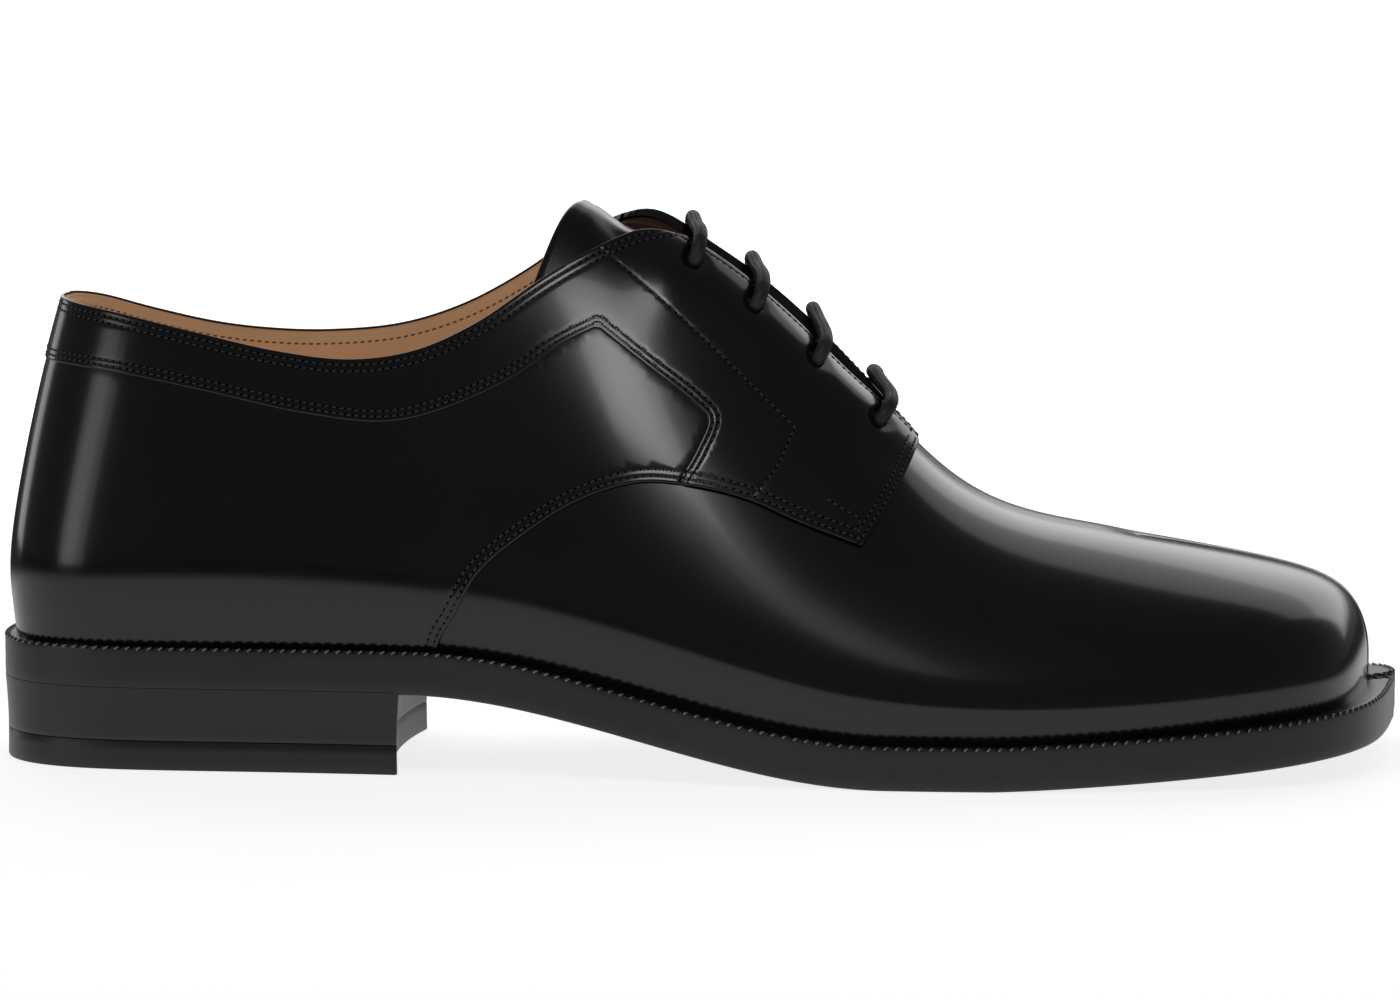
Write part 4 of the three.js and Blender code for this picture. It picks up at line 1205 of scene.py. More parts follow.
class StitchWork:
    # Rows of one small shape, turned to the leather, and black plugs of painted shade for the needle holes
    # between them
    def __init__(self, shape=None, pitch=None):
        self.shape = shape or (stitchPoints, stitchFaces)
        self.pitch = pitch or stitch["pitch"]
        self.points, self.faces, self.count = [], [], 0
        self.holes, self.holeFaces, self.holeCount = [], [], 0

    def row(self, line, outs, lean=stitch["lean"]):
        run = np.concatenate([[0], np.cumsum(np.linalg.norm(np.diff(line, axis=0), axis=1))])
        count = int(run[-1] / self.pitch)
        if count < 1:
            return
        pitch = run[-1] / count
        for centre in (np.arange(count) + 0.5) * pitch:
            place, forward, out = self.frameAt(centre, run, line, outs)
            aside = unit(np.cross(out, forward))
            leaning = unit(forward + lean * aside)
            turned = self.shape[0] @ np.stack([leaning, np.cross(out, leaning), out])
            self.points.append(turned + place)
            self.faces.extend([[index + self.count for index in face] for face in self.shape[1]])
            self.count += len(self.shape[0])
            place, forward, out = self.frameAt(min(centre + pitch / 2, run[-1]), run, line, outs)
            turned = holePoints @ np.stack([forward, np.cross(out, forward), out])
            self.holes.append(turned + place)
            self.holeFaces.extend([[index + self.holeCount for index in face] for face in holeFaces])
            self.holeCount += len(holePoints)

    def frameAt(self, centre, run, line, outs):
        place, ahead, behind = (
            np.array([np.interp(at, run, line[:, k]) for k in range(3)])
            for at in (centre, min(centre + 0.6, run[-1]), max(centre - 0.6, 0))
        )
        out = unit(np.array([np.interp(centre, run, outs[:, k]) for k in range(3)]))
        return place, unit(ahead - behind), out

    def piece(self, name, material, slot):
        return makePiece(name, np.concatenate(self.points), self.faces, material, slot, weld=False)

    # The needle holes' black plugs, in painted shade
    def holePiece(self, name, slot):
        return makePiece(name, np.concatenate(self.holes), self.holeFaces, needleHoleShade, slot, weld=False)


def offsetLine(line, inside, distance):
    # A line moved by a distance towards its inside, without the loops that form in corners
    dense = resample(line, 0.5)
    run = unit(np.gradient(dense, axis=0))
    aside = np.stack([-run[:, 1], run[:, 0]], axis=1)
    moved = dense + aside * distance
    if lineDistance(moved[len(moved) // 2 : len(moved) // 2 + 1], line, inside)[0] * distance < 0:
        moved = dense - aside * distance
    good = np.abs(lineDistance(moved, line, inside) - distance) < 0.08
    return moved[good]


def stitchedLine(work, pairs, side, level, allowed=None):
    at = onSide(pairs, side)
    points, outs = lastFrame(at)
    keep = np.linalg.norm(points[:, [0, 2]] - pairs, axis=1) < 0.3
    if allowed is not None:
        keep = keep & allowed(points)
    levels = np.reshape(level(points) if callable(level) else level, (-1, 1))
    points = points + outs * (levels + 0.3 * stitch["height"])
    # Each unbroken stretch is a row of its own
    index = np.flatnonzero(keep)
    for stretch in np.split(index, np.flatnonzero(np.diff(index) > 1) + 1):
        if len(stretch) > 3:
            work.row(points[stretch], outs[stretch])


def topLevel(points):
    level = np.where(bandField(points) > 0, upper["bandLevel"], upper["quarterLevel"])
    return level - stitch["groove"] + facingRise(points)


def makeStitches():
    work = StitchWork()
    for side in (-1, 1):
        for offset in rowOffsets["quarter"]:
            pairs = offsetLine(quarterLine, (-60.0, 45.0), offset)
            stitchedLine(work, pairs, side, topLevel, lambda p: (
                (throatField(p) > rowClear["quarterFromThroat"])
                & (p[:, 2] > weltTop(p[:, 0]) + rowClear["quarterFromWelt"])
            ))
        for offset in rowOffsets["band"]:
            pairs = offsetLine(bandLine, (20.0, 75.0), offset - bandLap)
            stitchedLine(work, pairs, side, topLevel, lambda p: (
                (quarterField(p) > rowClear["bandFromSeam"]) & (collarField(p) > rowClear["bandFromCollar"])
            ))
        for offset in rowOffsets["collar"]:
            pairs = offsetLine(collarLines[side][:-1], (-60.0, 50.0), offset)
            stitchedLine(work, pairs, side, topLevel, lambda p: bandInside(p) > rowClear["bandEdge"])
        stitchedLine(work, resample(facingLine, 0.5), side, topLevel, lambda p: (
            (np.minimum(quarterField(p), collarField(p)) > rowClear["facingFromEdges"])
            & (throatField(p) > rowClear["facingFromThroat"])
        ))
        # Along the throat's edge
        x = np.linspace(throatX - 0.5, collarLines[side][-2, 0] - 1.0, 120)
        for offset in rowOffsets["throat"]:
            at = overPlan(np.stack([x, facingEdgeY(x, side) + side * offset], axis=1))
            points, outs = lastFrame(at)
            good = quarterField(points) > rowClear["throatFromSeam"]
            good = good & (bandInside(points) > rowClear["bandEdge"])
            level = (topLevel(points) + 0.3 * stitch["height"])[:, None]
            work.row((points + outs * level)[good], outs[good])
        # Tack that holds the facing's lower corner
        for start, end in zip(tackLine, tackLine[1:]):
            pairs = resample([start, end], 0.5)
            stitchedLine(work, pairs, side, topLevel)
    work.holePiece("needle_hole_shade", "box_calf")
    return work.piece("upper_stitches", threadBlack, "box_calf")


def makeLiningStitches():
    # One row inside the collar, on the face towards the foot
    work = StitchWork()
    for side in (-1, 1):
        pairs = offsetLine(collarLines[side][:-1], (-60.0, 50.0), liningRow["offset"])
        at = onSide(pairs, side)
        points, outs = lastFrame(at)
        keep = np.linalg.norm(points[:, [0, 2]] - pairs, axis=1) < 0.3
        keep = keep & (throatField(points) > rowClear["liningFromThroat"])
        work.row((points + outs * liningRow["level"])[keep], -outs[keep])
    return work.piece("lining_stitches", threadTan, "lining_leather")


makeStitches()
makeLiningStitches()
print("stitches ready")


# Tongue

tongue = {
    "thickness": 1.8,
    "length": 74.0,
    "underVamp": 7.0,
    "halfAtVamp": 0.17 * last["ballWidth"],
    "halfAtTop": 0.255 * last["ballWidth"],
    "cornerBack": 9.0,
    "high": 0.4,
    "dropAtVamp": 10.0,
    "dropAside": 6.0,
    "dropPastLace": 20.0,
    "dropBehind": 14.0,
    "dip": 2.8,
    "dipBehind": 12.0,
    "dipReach": 7.0,
    "edgeRoll": 0.8,
    "channelInset": 2.6,
    "channelWidth": 0.5,
    "channelDepth": 0.15,
    "rows": 78,
    "columns": 46,
}
wall = 1.6
laceDiameter = 3.0
gap = last["layerGap"]


def tongueLevel(x, y):
    topEyeletX = eyeletX(eyelet["rows"] - 1, -1)
    fromDip = (x - topEyeletX + tongue["dipBehind"]) / tongue["dipReach"]
    shallow = wall + 3 * gap + tongue["high"] * ease((throatX - x) / tongue["dropAtVamp"])
    shallow = shallow + tongue["dip"] * np.exp(-(fromDip**2))
    beside = ease((np.abs(y - throatMiddleY) - 0.3 * last["facingGap"]) / tongue["dropAside"])
    behindVamp = ease((throatX + tongue["underVamp"] - x) / tongue["dropAtVamp"])
    beforeTop = ease((x - topEyeletX + tongue["dropPastLace"]) / tongue["dropBehind"])
    return shallow + (wall + laceDiameter + 9 * gap - shallow) * beside * behindVamp * beforeTop


def tonguePlan(share, across):
    half = tongue["halfAtVamp"] + (tongue["halfAtTop"] - tongue["halfAtVamp"]) * share
    half = half * (1 - 0.1 * ease((share - 0.93) / 0.07) - 0.1 * ease((0.07 - share) / 0.07))
    x = throatX + tongue["underVamp"] - share * (tongue["length"] + tongue["cornerBack"] * across**2)
    return x, throatMiddleY + across * half


def makeTongue():
    rows, columns = tongue["rows"], tongue["columns"]
    edgeSteps = np.array([0.0, 0.004, 0.015, 0.035])
    inner = np.linspace(0.035, 0.965, columns + 1)[1:-1]
    across = np.concatenate([edgeSteps, inner, 1 - edgeSteps[::-1]]) * 2 - 1
    shares = np.concatenate([np.linspace(0, 0.965, rows), 1 - edgeSteps[::-1] * 0.5])
    shareGrid, acrossGrid = np.meshgrid(shares, across, indexing="ij")
    x, y = tonguePlan(shareGrid, acrossGrid)
    level = tongueLevel(x, y).ravel()
    half = (tongue["halfAtVamp"] + tongue["halfAtTop"]) / 2
    fromEdge = np.minimum((1 - np.abs(acrossGrid)) * half, (1 - shareGrid) * tongue["length"]).ravel()
    at = overPlan(np.stack([x.ravel(), y.ravel()], axis=1))
    roll = rolled(fromEdge, tongue["edgeRoll"])
    fromChannel = (fromEdge - tongue["channelInset"]) / tongue["channelWidth"]
    channel = tongue["channelDepth"] * np.exp(-(fromChannel**2))
    top = raised(at, -level - roll - channel)
    bottom = raised(at, -level - tongue["thickness"] + 0.5 * roll)
    count, wide = len(top), len(across)
    cells = (np.arange(len(shares) - 1)[:, None] * wide + np.arange(wide - 1)).ravel()
    upFaces = np.stack([cells, cells + 1, cells + wide + 1, cells + wide], axis=1)
    downFaces = upFaces[:, ::-1] + count
    loop = [*range(wide), *[r * wide + wide - 1 for r in range(1, len(shares))],
            *[(len(shares) - 1) * wide + c for c in range(wide - 2, -1, -1)],
            *[r * wide for r in range(len(shares) - 2, 0, -1)]]
    sides = [[b, a, a + count, b + count] for a, b in zip(loop, loop[1:] + loop[:1])]
    faces = [*upFaces.tolist(), *downFaces.tolist(), *sides]
    points = np.concatenate([top, bottom])
    return makePiece("tongue", points, faces, tongueCalf, "tongue_calf", nodes=("tongue",))


makeTongue()
print("tongue ready")


# Lace: straight bars over the throat, joined under the facings by short legs and one long leg

lace = {
    "radius": laceDiameter / 2,
    "rise": 0.1,
    "sides": 20,
    "step": 0.34,
    "strands": 10,
    "weave": 0.075,
    "twistLength": 4.2,
}


def lacePoint(row, side, aside, level):
    at = overPlan([besideEyelet(row, side, aside)])
    return raised(at, level + facingRise(netFrame(lastNet, at)[0])[0])[0]


def barPoints(row, fromSide):
    # A bar lies on both facings and runs straight between their edges
    lip = upper["bandLevel"] + gap
    barLevel = lip + lace["radius"]

    def climb(side):
        return [
            lacePoint(row, side, 0, -wall - 3 * gap),
            lacePoint(row, side, 0, lip),
            lacePoint(row, side, -1.8, barLevel + gap),
            lacePoint(row, side, -eyeletInset(row), barLevel + lace["rise"]),
        ]

    near, away = climb(fromSide), climb(-fromSide)[::-1]
    middle = (near[-1] + away[0]) / 2 + np.array([0, 0, lace["rise"]])
    return [*near, middle, *away]


def laceRoute():
    top = eyelet["rows"] - 1
    legLevel = -(wall + 6 * gap + lace["radius"])
    longAside = laceDiameter + 2 * gap
    route = [lacePoint(top * (1 - step / 6), -1, longAside, legLevel) for step in range(6)]
    route.append(lacePoint(0, -1, 0.55 * longAside, legLevel))
    side = -1
    for row in range(eyelet["rows"]):
        route.extend(barPoints(row, side))
        side = -side
        if row < top:
            route.extend(lacePoint(row + share, side, 0, legLevel) for share in (0.22, 0.5, 0.78))
    route.append(lacePoint(top, side, 0, legLevel + 0.6 * lace["radius"]))
    return np.array(route)


def tube(path, radiusAt, sides):
    run = unit(np.gradient(path, axis=0))
    across = np.array([0.0, 0.0, 1.0])
    rings = []
    for index, centre in enumerate(path):
        across = unit(across - run[index] * (across @ run[index]))
        aside = np.cross(run[index], across)
        angle = 2 * np.pi * np.arange(sides) / sides
        radius = radiusAt(index, angle)[:, None]
        rings.append(centre + radius * (across * np.cos(angle)[:, None] + aside * np.sin(angle)[:, None]))
    points = np.concatenate(rings)
    faces = []
    for ring in range(len(path) - 1):
        for k in range(sides):
            a, b = ring * sides + k, ring * sides + (k + 1) % sides
            faces.append([a, a + sides, b + sides, b])
    faces.append(list(range(sides)))
    faces.append([len(points) - 1 - k for k in range(sides)])
    return points, faces


def makeLace():
    path = resample(smoothLine(laceRoute(), 10), lace["step"])

    def radiusAt(index, angle):
        # Two sets of strands that cross, as in a round braid
        turn = 2 * np.pi * index * lace["step"] / lace["twistLength"]
        half = lace["strands"] / 2
        oneWay = np.cos(half * (angle + turn))
        otherWay = np.cos(half * (angle - turn))
        return lace["radius"] * (1 + lace["weave"] * (np.maximum(oneWay, otherWay) - 0.75))

    points, faces = tube(path, radiusAt, lace["sides"])
    return makePiece("lace", points, faces, waxedLace, "waxed_lace", nodes=("laces",), weld=False)


makeLace()
print("lace ready")


# Sole

sole = {
    "slitWidth": 5.6,
    "slitLength": 44.0,
    "slitCorner": 3.1,
    "slitZone": 30.0,
    "slitFrontInset": 0.35,
    "wheelPitch": 2.3,
    "wheelDepth": 0.42,
    "wheelBand": 1.15,
    "beadInset": 0.3,
    "beadDrop": 0.1,
    "beadScale": np.array([1.15, 1.3, 1.6]),
    "beadLean": 0.9,
    "outlineStep": 0.3,
    "topPiece": 6.0,
    "heelTaper": 0.5,
    "breastFromHeel": 87.5,
    "breastHollow": 5.0,
    "breastSoft": 9.0,
    "heelWaist": 0.25,
    "insoleInset": -3.0,
    "insoleSlit": 3.0,
    "insoleSlitLength": 34.0,
    "insoleZone": 40.0,
    "insoleTop": 2.9,
    "insoleBottom": 0.4,
}


def weltMargin(x):
    share = (x - heelX) / last["soleLength"]
    towardsSide = ease((share - 0.05) / 0.5)
    towardsToe = ease((share - 0.78) / 0.16)
    return (last["weltAtHeel"] + (last["weltAtSide"] - last["weltAtHeel"]) * towardsSide
            + (last["weltAtToe"] - last["weltAtSide"]) * towardsToe)


def outwards(loop):
    # Unit directions out of a closed plan loop that runs anticlockwise
    run = unit(np.roll(loop, -1, axis=0) - np.roll(loop, 1, axis=0))
    return np.stack([run[:, 1], -run[:, 0]], axis=1)


def footLoop(margin, step):
    # Foot line moved outwards, anticlockwise in plan: the outer side to the toe, then the inner side
    steps = np.linspace(0, sectionEnd, 500)
    outer = netFrame(lastNet, np.stack([steps, np.zeros(500)], axis=1))[0][:, :2]
    inner = netFrame(lastNet, np.stack([steps, np.full(500, 10.0)], axis=1))[0][:, :2]
    loop = resample(np.concatenate([outer, inner[1:-1][::-1]]), 0.5, closed=True)
    loop = loop + outwards(loop) * margin(loop[:, 0])[:, None]
    return resample(loop, step, closed=True)


def withSlit(loop, step):
    # Runs the outline round the slit at the toe, with round corners
    front = loop[:, 0] > toeX - sole["slitZone"]
    aside = loop[:, 1] - cleftY(loop[:, 0])
    reach = sole["slitWidth"] / 2 + sole["slitCorner"]
    inSlit = front & (np.abs(aside) < reach)
    start = int(np.flatnonzero(inSlit)[0])
    loop = np.roll(loop, -start, axis=0)
    count = int(inSlit.sum())
    kept = loop[count:]
    rootX = toeX - sole["slitLength"]

    def edge(sign):
        made = []
        for share in (0.0, 0.01, 0.03, 0.08, 0.3, 0.6, 0.85):
            x = rootX + share * sole["slitLength"]
            half = sole["slitWidth"] / 2 * (0.3 + 0.7 * share) * min(1, math.sqrt(share / 0.03))
            made.append([x, cleftY(x) + sign * half])
        corner = sole["slitCorner"]
        for i in range(7):
            angle = math.pi / 2 * i / 6
            x = toeX - corner + corner * math.sin(angle) - sole["slitFrontInset"]
            made.append([x, cleftY(x) + sign * (sole["slitWidth"] / 2 + corner * (1 - math.cos(angle)))])
        return np.array(made)

    path = np.concatenate([edge(-1)[::-1], edge(1)[1:]])
    ends = np.array([kept[-1], kept[0]])
    path = path[path[:, 0] < np.interp(path[:, 1], ends[:, 1], ends[:, 0]) + 0.2]
    return resample(np.concatenate([kept, path]), step, closed=True)


def slab(loop, rings, topAt, bottomAt, cell=5.0):
    # A flat layer: an edge swept round the outline through "rings" of (inset, height),
    # with a filled top and bottom. Heights are functions of plan points.
    out = outwards(loop)
    for _ in range(3):
        out = unit(np.roll(out, 1, axis=0) + 2 * out + np.roll(out, -1, axis=0))
    count = len(loop)
    layers = []
    for inset, height in rings:
        plan = loop - out * np.reshape(inset, (-1, 1))
        layers.append(np.column_stack([plan, height(plan)]))
    points = np.concatenate(layers)
    faces = []
    nextOne = np.roll(np.arange(count), -1)
    for layer in range(len(layers) - 1):
        a = layer * count + np.arange(count)
        b = layer * count + nextOne
        faces.append(np.stack([a, a + count, b + count, b], axis=1))
    faces = np.concatenate(faces).tolist()
    low, high = loop.min(axis=0), loop.max(axis=0)
    spans = [np.arange(low[k] + cell / 2, high[k], cell) for k in (0, 1)]
    grid = np.stack(np.meshgrid(*spans, indexing="ij"), axis=-1).reshape(-1, 2)
    everything = [points]
    start = len(points)
    for layer, height, turned in ((0, topAt, False), (len(layers) - 1, bottomAt, True)):
        ring = layers[layer][:, :2]
        clear = grid[np.min(np.linalg.norm(grid[:, None] - ring[None, ::8], axis=2), axis=1) > 0.45 * cell]
        vertices = [Vector(p) for p in np.concatenate([ring, clear])]
        edges = [(k, (k + 1) % count) for k in range(count)]
        made, _, filled, origins, _, _ = delaunay_2d_cdt(vertices, edges, [], 1, 1e-5)
        flat = np.array([[v.x, v.y] for v in made])
        triangles = [list(face) for face in filled]
        everything.append(np.column_stack([flat, height(flat)]))
        ends = layers[layer]
        for k, origin in enumerate(origins):
            if origin and origin[0] < count:
                everything[-1][k] = ends[origin[0]]
        for face in triangles:
            a, b, c = (flat[k] for k in face)
            up = (b[0] - a[0]) * (c[1] - a[1]) - (b[1] - a[1]) * (c[0] - a[0]) > 0
            order = face if up != turned else face[::-1]
            faces.append([k + start for k in order])
        start += len(flat)
    return np.concatenate(everything), faces


def arcLength(loop):
    return np.concatenate([[0], np.cumsum(np.linalg.norm(np.diff(loop, axis=0), axis=1))])


def beadShape():
    # A small rounded grain, drawn from the stitch's own
    return stitchPoints * sole["beadScale"], stitchFaces


def makeWelt(loop):
    run = arcLength(loop)
    total = run[-1] + np.linalg.norm(loop[-1] - loop[0])
    marks = round(total / sole["wheelPitch"])
    phase = 2 * np.pi * marks * run / total
    depth, band = sole["wheelDepth"], sole["wheelBand"]
    thick = last["welt"]

    def notched(share, shift):
        # Bead along the edge, pressed by the slanted teeth of the wheel
        tooth = np.clip(0.5 + 0.9 * np.cos(phase + shift), 0, 1)
        return lambda plan: weltTop(plan[:, 0]) + share * (0.16 - depth * tooth)

    def level(drop):
        return lambda plan: weltTop(plan[:, 0]) - drop

    rings = [
        (band + 0.9, level(0.0)),
        (band + 0.25, level(0.06)),
        (band, level(0.16)),
        (band - 0.2, notched(0.7, 0.9)),
        (0.65 * band, notched(1.0, 0.6)),
        (0.35 * band, notched(1.0, 0.2)),
        (0.12 * band, notched(0.85, -0.1)),
        (0.02, level(0.35)),
        (0.0, level(0.6)),
        (0.0, level(thick * 0.5)),
        (0.0, level(thick)),
        (1.2, level(thick)),
    ]
    # The wheel's teeth leave a row of small slanted beads; the beads are real, and their light grey colour
    # is painted glint that stands in for the light they catch
    beads = StitchWork(beadShape(), sole["wheelPitch"])
    out = outwards(loop)
    line = np.column_stack([loop - out * sole["beadInset"], weltTop(loop[:, 0]) - sole["beadDrop"]])
    lean = np.column_stack([out * 0.6, np.full(len(loop), 0.8)])
    beads.row(line[::2], lean[::2], sole["beadLean"])
    beads.piece("welt_beads", glintPaintedBead, "sole_edge")
    points, faces = slab(loop, rings, level(0.0), level(thick))
    return makePiece("welt", points, faces, soleEdgeInk, "sole_edge", nodes=("welt",), sharp=50)


def outsoleLow(x):
    return np.maximum(0, weltTop(x) - soleEdge)


def makeOutsole(loop):
    # The rim is nearly flat, with a rounded lower edge
    def top(drop):
        return lambda plan: weltTop(plan[:, 0]) - last["welt"] + 0.04 - drop

    def bottom(rise):
        return lambda plan: outsoleLow(plan[:, 0]) + rise

    def between(share):
        return lambda plan: top(0)(plan) * (1 - share) + bottom(0)(plan) * share

    rings = [
        (1.2, top(0.0)),
        (0.03, top(0.0)),
        (0.02, between(0.3)),
        (0.0, between(0.55)),
        (0.05, between(0.8)),
        (0.12, bottom(0.5)),
        (0.4, bottom(0.14)),
        (0.8, bottom(0.0)),
        (1.5, bottom(0.0)),
    ]
    points, faces = slab(loop, rings, top(0.0), bottom(0.0))
    return makePiece("outsole", points, faces, soleEdgeInk, "sole_edge", nodes=("outsole",), sharp=50)


def heelLoop(step):
    loop = footLoop(weltMargin, 0.4)
    breastX = heelX + sole["breastFromHeel"]
    halfWidth = 0.4 * last["ballWidth"]

    def breastAt(y):
        return breastX - sole["breastHollow"] * (1 - np.clip(np.abs(y) / halfWidth, 0, 1.2) ** 2)

    behind = loop[:, 0] < breastAt(loop[:, 1])
    start = int(np.flatnonzero(behind & ~np.roll(behind, 1))[0])
    loop = np.roll(loop, -start, axis=0)[: int(behind.sum())]
    y = np.linspace(loop[-1][1], loop[0][1], 60)[1:-1]
    front = np.stack([breastAt(y), y], axis=1)
    closed = resample(np.concatenate([loop, front]), step, closed=True)
    for _ in range(2):
        near = closed[:, 0] > breastX - sole["breastSoft"]
        soft = 0.25 * np.roll(closed, 1, axis=0) + 0.5 * closed + 0.25 * np.roll(closed, -1, axis=0)
        closed = np.where(near[:, None], soft, closed)
    return closed


def makeHeel():
    loop = heelLoop(0.9)
    high = last["heelHeight"] + 0.5  # up over the outsole's rounded lower edge
    low = sole["topPiece"] + 0.12
    taper = sole["heelTaper"]

    def flat(z):
        return lambda plan: np.full(len(plan), float(z))

    def insetAt(z):
        share = z / last["heelHeight"]
        # The block is a little hollow half way up
        return taper * (1 - share) + 0.06 * share + sole["heelWaist"] * math.sin(math.pi * share)

    heights = np.linspace(high - 0.1, low + 0.1, 11)
    rings = [(insetAt(high) + 1.6, flat(high)), (insetAt(high), flat(high))]
    rings += [(insetAt(z), flat(z)) for z in heights]
    rings += [(insetAt(low) + 0.08, flat(low)), (insetAt(low) + 1.6, flat(low))]
    points, faces = slab(loop, rings, flat(high), flat(low))
    makePiece("heel_stack", points, faces, heelInk, "heel_edge", nodes=("heel_stack",), sharp=60)
    top = sole["topPiece"]
    rings = [
        (insetAt(top) + 1.6, flat(top)),
        (insetAt(top) + 0.06, flat(top)),
        (insetAt(top), flat(top - 0.08)),
        (insetAt(top * 0.66), flat(top * 0.66)),
        (insetAt(top * 0.33), flat(top * 0.33)),
        (insetAt(0.3), flat(0.3)),
        (insetAt(0.0) + 0.12, flat(0.08)),
        (insetAt(0.0) + 0.35, flat(0.0)),
        (insetAt(0.0) + 1.6, flat(0.0)),
    ]
    points, faces = slab(loop, rings, flat(top), flat(0.0))
    makePiece("top_piece", points, faces, heelRubber, "top_piece_rubber", nodes=("top_piece",), sharp=60)


def insoleLoop():
    # Split at the toe like the sole, a little wider
    loop = footLoop(lambda x: np.full(len(x), sole["insoleInset"]), 0.6)
    aside = np.abs(loop[:, 1] - cleftY(loop[:, 0]))
    inSlit = (loop[:, 0] > toeX - sole["insoleZone"]) & (aside < sole["slitWidth"] / 2 + sole["insoleSlit"])
    loop[inSlit, 0] -= sole["insoleSlitLength"]
    return resample(loop, 0.9, closed=True)


def makeInsole():
    loop = insoleLoop()

    def high(plan):
        return weltTop(plan[:, 0]) + sole["insoleTop"]

    def low(plan):
        return weltTop(plan[:, 0]) + sole["insoleBottom"]

    rings = [
        (1.4, high),
        (0.4, lambda p: high(p) - 0.1),
        (0.1, lambda p: high(p) - 0.5),
        (0.0, low),
        (1.2, low),
    ]
    points, faces = slab(loop, rings, high, low)
    return makePiece("insole", points, faces, liningLeather, "lining_leather", nodes=("insole",), sharp=50)


soleLoop = withSlit(footLoop(weltMargin, 0.5), sole["outlineStep"])
makeWelt(soleLoop)
makeOutsole(withSlit(footLoop(weltMargin, 0.5), 0.9))
makeHeel()
makeInsole()
print("sole ready")


# Stage, lights and camera

stage = {
    "floorSize": 14.0,
    "white": 0.8,
    "glow": 0.8,
    "farGlow": 1.0,
    "glowStart": 0.5,
    "glowEnd": 1.4,
    "mirrored": 0.62,
    "mirroredDim": 0.03,
    "mirroredShape": (0.6, 1.0, 1.0),
    "mirroredNear": 0.2,
    "mirroredFar": 0.36,
    "skyColour": (0.95, 0.97, 1.0, 1),
    "sky": 0.1,
}


def makeFloor():
    # Pale to the camera. In reflections it is bright only near the shoe.
    mesh = bpy.data.meshes.new("floor")
    half = stage["floorSize"] / 2
    corners = [(-half, -half, 0), (half, -half, 0), (half, half, 0), (-half, half, 0)]
    mesh.from_pydata(corners, [], [(0, 1, 2, 3)])
    floor = bpy.data.objects.new("floor", mesh)
    bpy.context.scene.collection.objects.link(floor)
    material, tree, shader = newMaterial("paleFloor")
    setSockets(shader, {
        "Base Color": (stage["white"],) * 3 + (1,), "Roughness": 0.8,
        "Specular IOR Level": 0.1, "Emission Color": (1, 1, 1, 1),
    })
    place = addNode(tree, "ShaderNodeTexCoord").outputs["Object"]
    distance = addNode(tree, "ShaderNodeVectorMath", {"operation": "LENGTH"}, i0=place).outputs["Value"]
    glow = addNode(tree, "ShaderNodeMapRange", {"interpolation_type": "SMOOTHSTEP"})
    tree.links.new(distance, glow.inputs["Value"])
    setSockets(glow, {
        "From Min": stage["glowStart"], "From Max": stage["glowEnd"],
        "To Min": stage["glow"], "To Max": stage["farGlow"],
    })
    tree.links.new(glow.outputs["Result"], shader.inputs["Emission Strength"])
    squeezed = addNode(tree, "ShaderNodeVectorMath", {"operation": "MULTIPLY"}, i0=place)
    squeezed.inputs[1].default_value = stage["mirroredShape"]
    away = addNode(tree, "ShaderNodeVectorMath", {"operation": "LENGTH"}, i0=squeezed.outputs["Vector"])
    fade = addNode(tree, "ShaderNodeMapRange", {"interpolation_type": "SMOOTHSTEP"})
    tree.links.new(away.outputs["Value"], fade.inputs["Value"])
    setSockets(fade, {
        "From Min": stage["mirroredNear"], "From Max": stage["mirroredFar"],
        "To Min": stage["mirrored"], "To Max": stage["mirroredDim"],
    })
    dim = addNode(tree, "ShaderNodeEmission")
    tree.links.new(fade.outputs["Result"], dim.inputs["Strength"])
    ray = addNode(tree, "ShaderNodeLightPath")
    mixed = addNode(tree, "ShaderNodeMixShader", i1=dim.outputs["Emission"], i2=shader.outputs["BSDF"])
    tree.links.new(ray.outputs["Is Camera Ray"], mixed.inputs[0])
    tree.links.new(mixed.outputs["Shader"], tree.nodes["Material Output"].inputs["Surface"])
    mesh.materials.append(material)


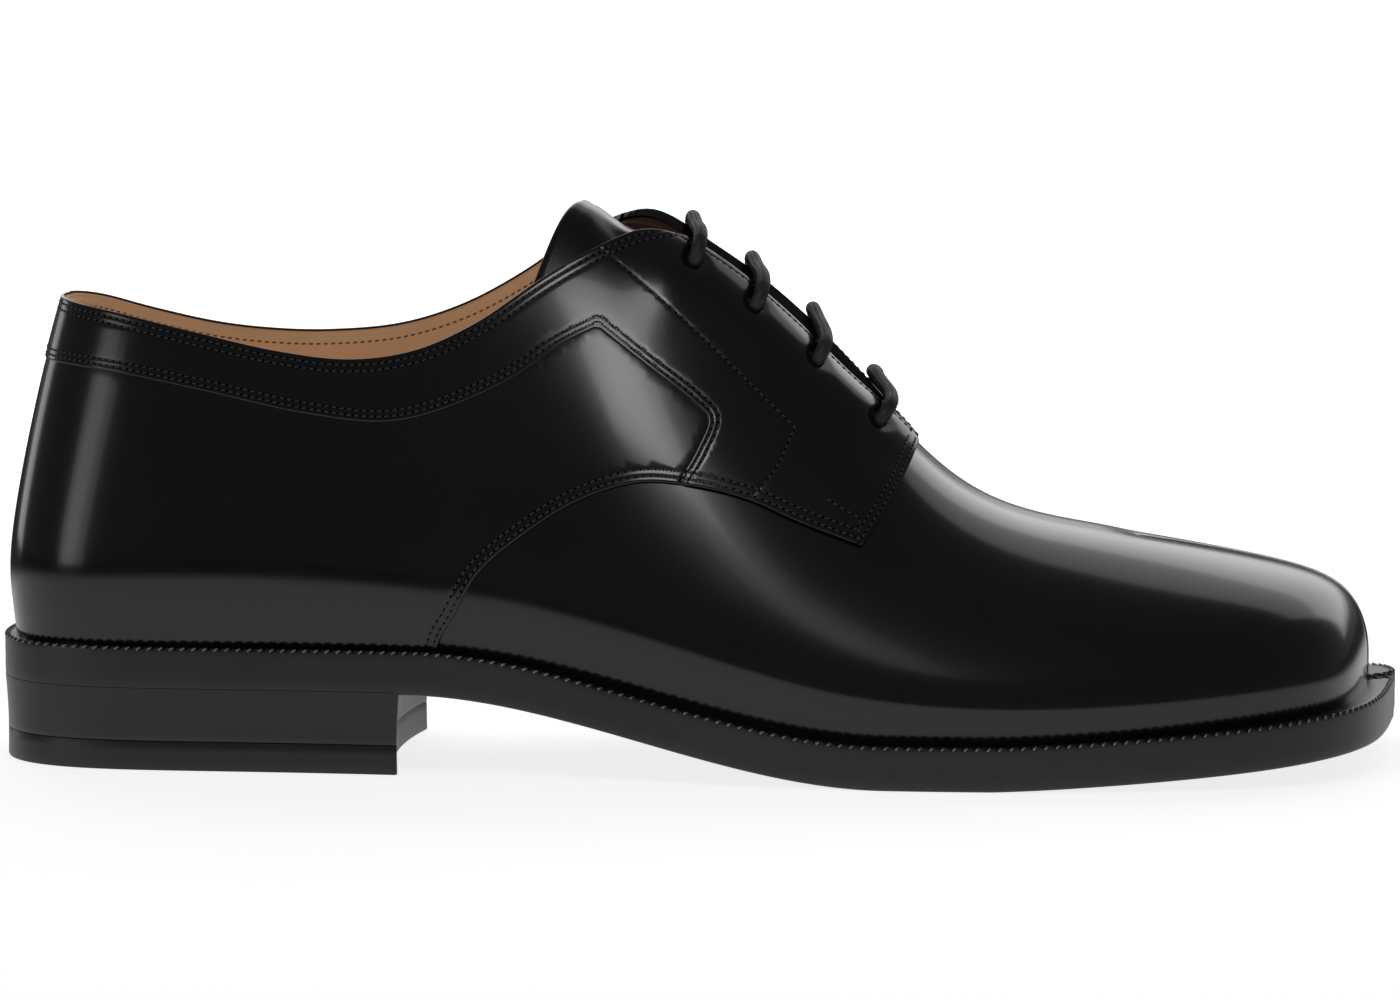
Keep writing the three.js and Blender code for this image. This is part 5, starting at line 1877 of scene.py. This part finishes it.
lights = {
    # name: middle of the sheet it lights, direction in degrees round from the front and up,
    # distance, width, height, brightness
    "backWall": ((0.0, 0.0, 0.05), 180.0, 34.0, 1.6, 2.6, 1.5, 0.6),
    "backLow": ((0.0, 0.0, 0.05), 176.0, 20.0, 1.5, 2.2, 0.8, 0.6),
    "frontBox": ((-0.012, -0.04, 0.08), 9.0, 45.0, 0.2, 0.046, 0.066, 3.8),
    "frontCore": ((-0.012, -0.04, 0.08), 7.5, 43.0, 0.19, 0.03, 0.045, 1.8),
    "frontLow": ((0.012, -0.045, 0.05), 10.0, 45.0, 0.3, 0.04, 0.06, 0.45),
    "heelGlow": ((-0.1, 0.0, 0.05), -54.0, 8.0, 1.6, 0.55, 1.0, 0.9),
    "heelCore": ((-0.1, 0.0, 0.05), -55.0, 8.0, 1.5, 0.28, 1.0, 0.7),
    "leftWall": ((-0.1, 0.0, 0.05), -128.0, 4.0, 1.6, 0.45, 0.6, 1.2),
}


def direction(turn, up):
    # Unit direction, in degrees round from the front and up
    turn, up = math.radians(turn), math.radians(up)
    return Vector((math.sin(turn) * math.cos(up), -math.cos(turn) * math.cos(up), math.sin(up)))


def aimed(thing, place, back):
    thing.location = place
    thing.rotation_mode = "QUATERNION"
    thing.rotation_quaternion = (-back).to_track_quat("-Z", "Y")
    bpy.context.scene.collection.objects.link(thing)


def makeLights():
    for name, (aim, turn, up, distance, width, height, brightness) in lights.items():
        towards = direction(turn, up)
        data = bpy.data.lights.new(name, "AREA")
        data.shape = "RECTANGLE"
        data.size = width
        data.size_y = height
        data.energy = brightness * math.pi * width * height
        light = bpy.data.objects.new(name, data)
        aimed(light, Vector(aim) + towards * distance, towards)
    world = bpy.data.worlds.new("studio")
    bpy.context.scene.world = world
    world.use_nodes = True
    background = world.node_tree.nodes["Background"]
    background.inputs["Color"].default_value = stage["skyColour"]
    background.inputs["Strength"].default_value = stage["sky"]


view = {
    # Degrees round from the front and up, metres, and the lens in millimetres
    "turn": 4.2,
    "height": 6.3,
    "distance": 1.45,
    "aim": (0.0, 0.0, 0.053),
    "lens": 179.36,
}


def makeCamera():
    back = direction(view["turn"], view["height"])
    data = bpy.data.cameras.new("camera")
    data.lens = view["lens"]
    data.sensor_width = 36
    data.clip_start = 0.05
    data.clip_end = 60
    camera = bpy.data.objects.new("camera", data)
    aimed(camera, Vector(view["aim"]) + back * view["distance"], back)
    bpy.context.scene.camera = camera


makeFloor()
makeLights()
makeCamera()
bpy.context.scene.view_settings.view_transform = "Standard"
print("stage ready")
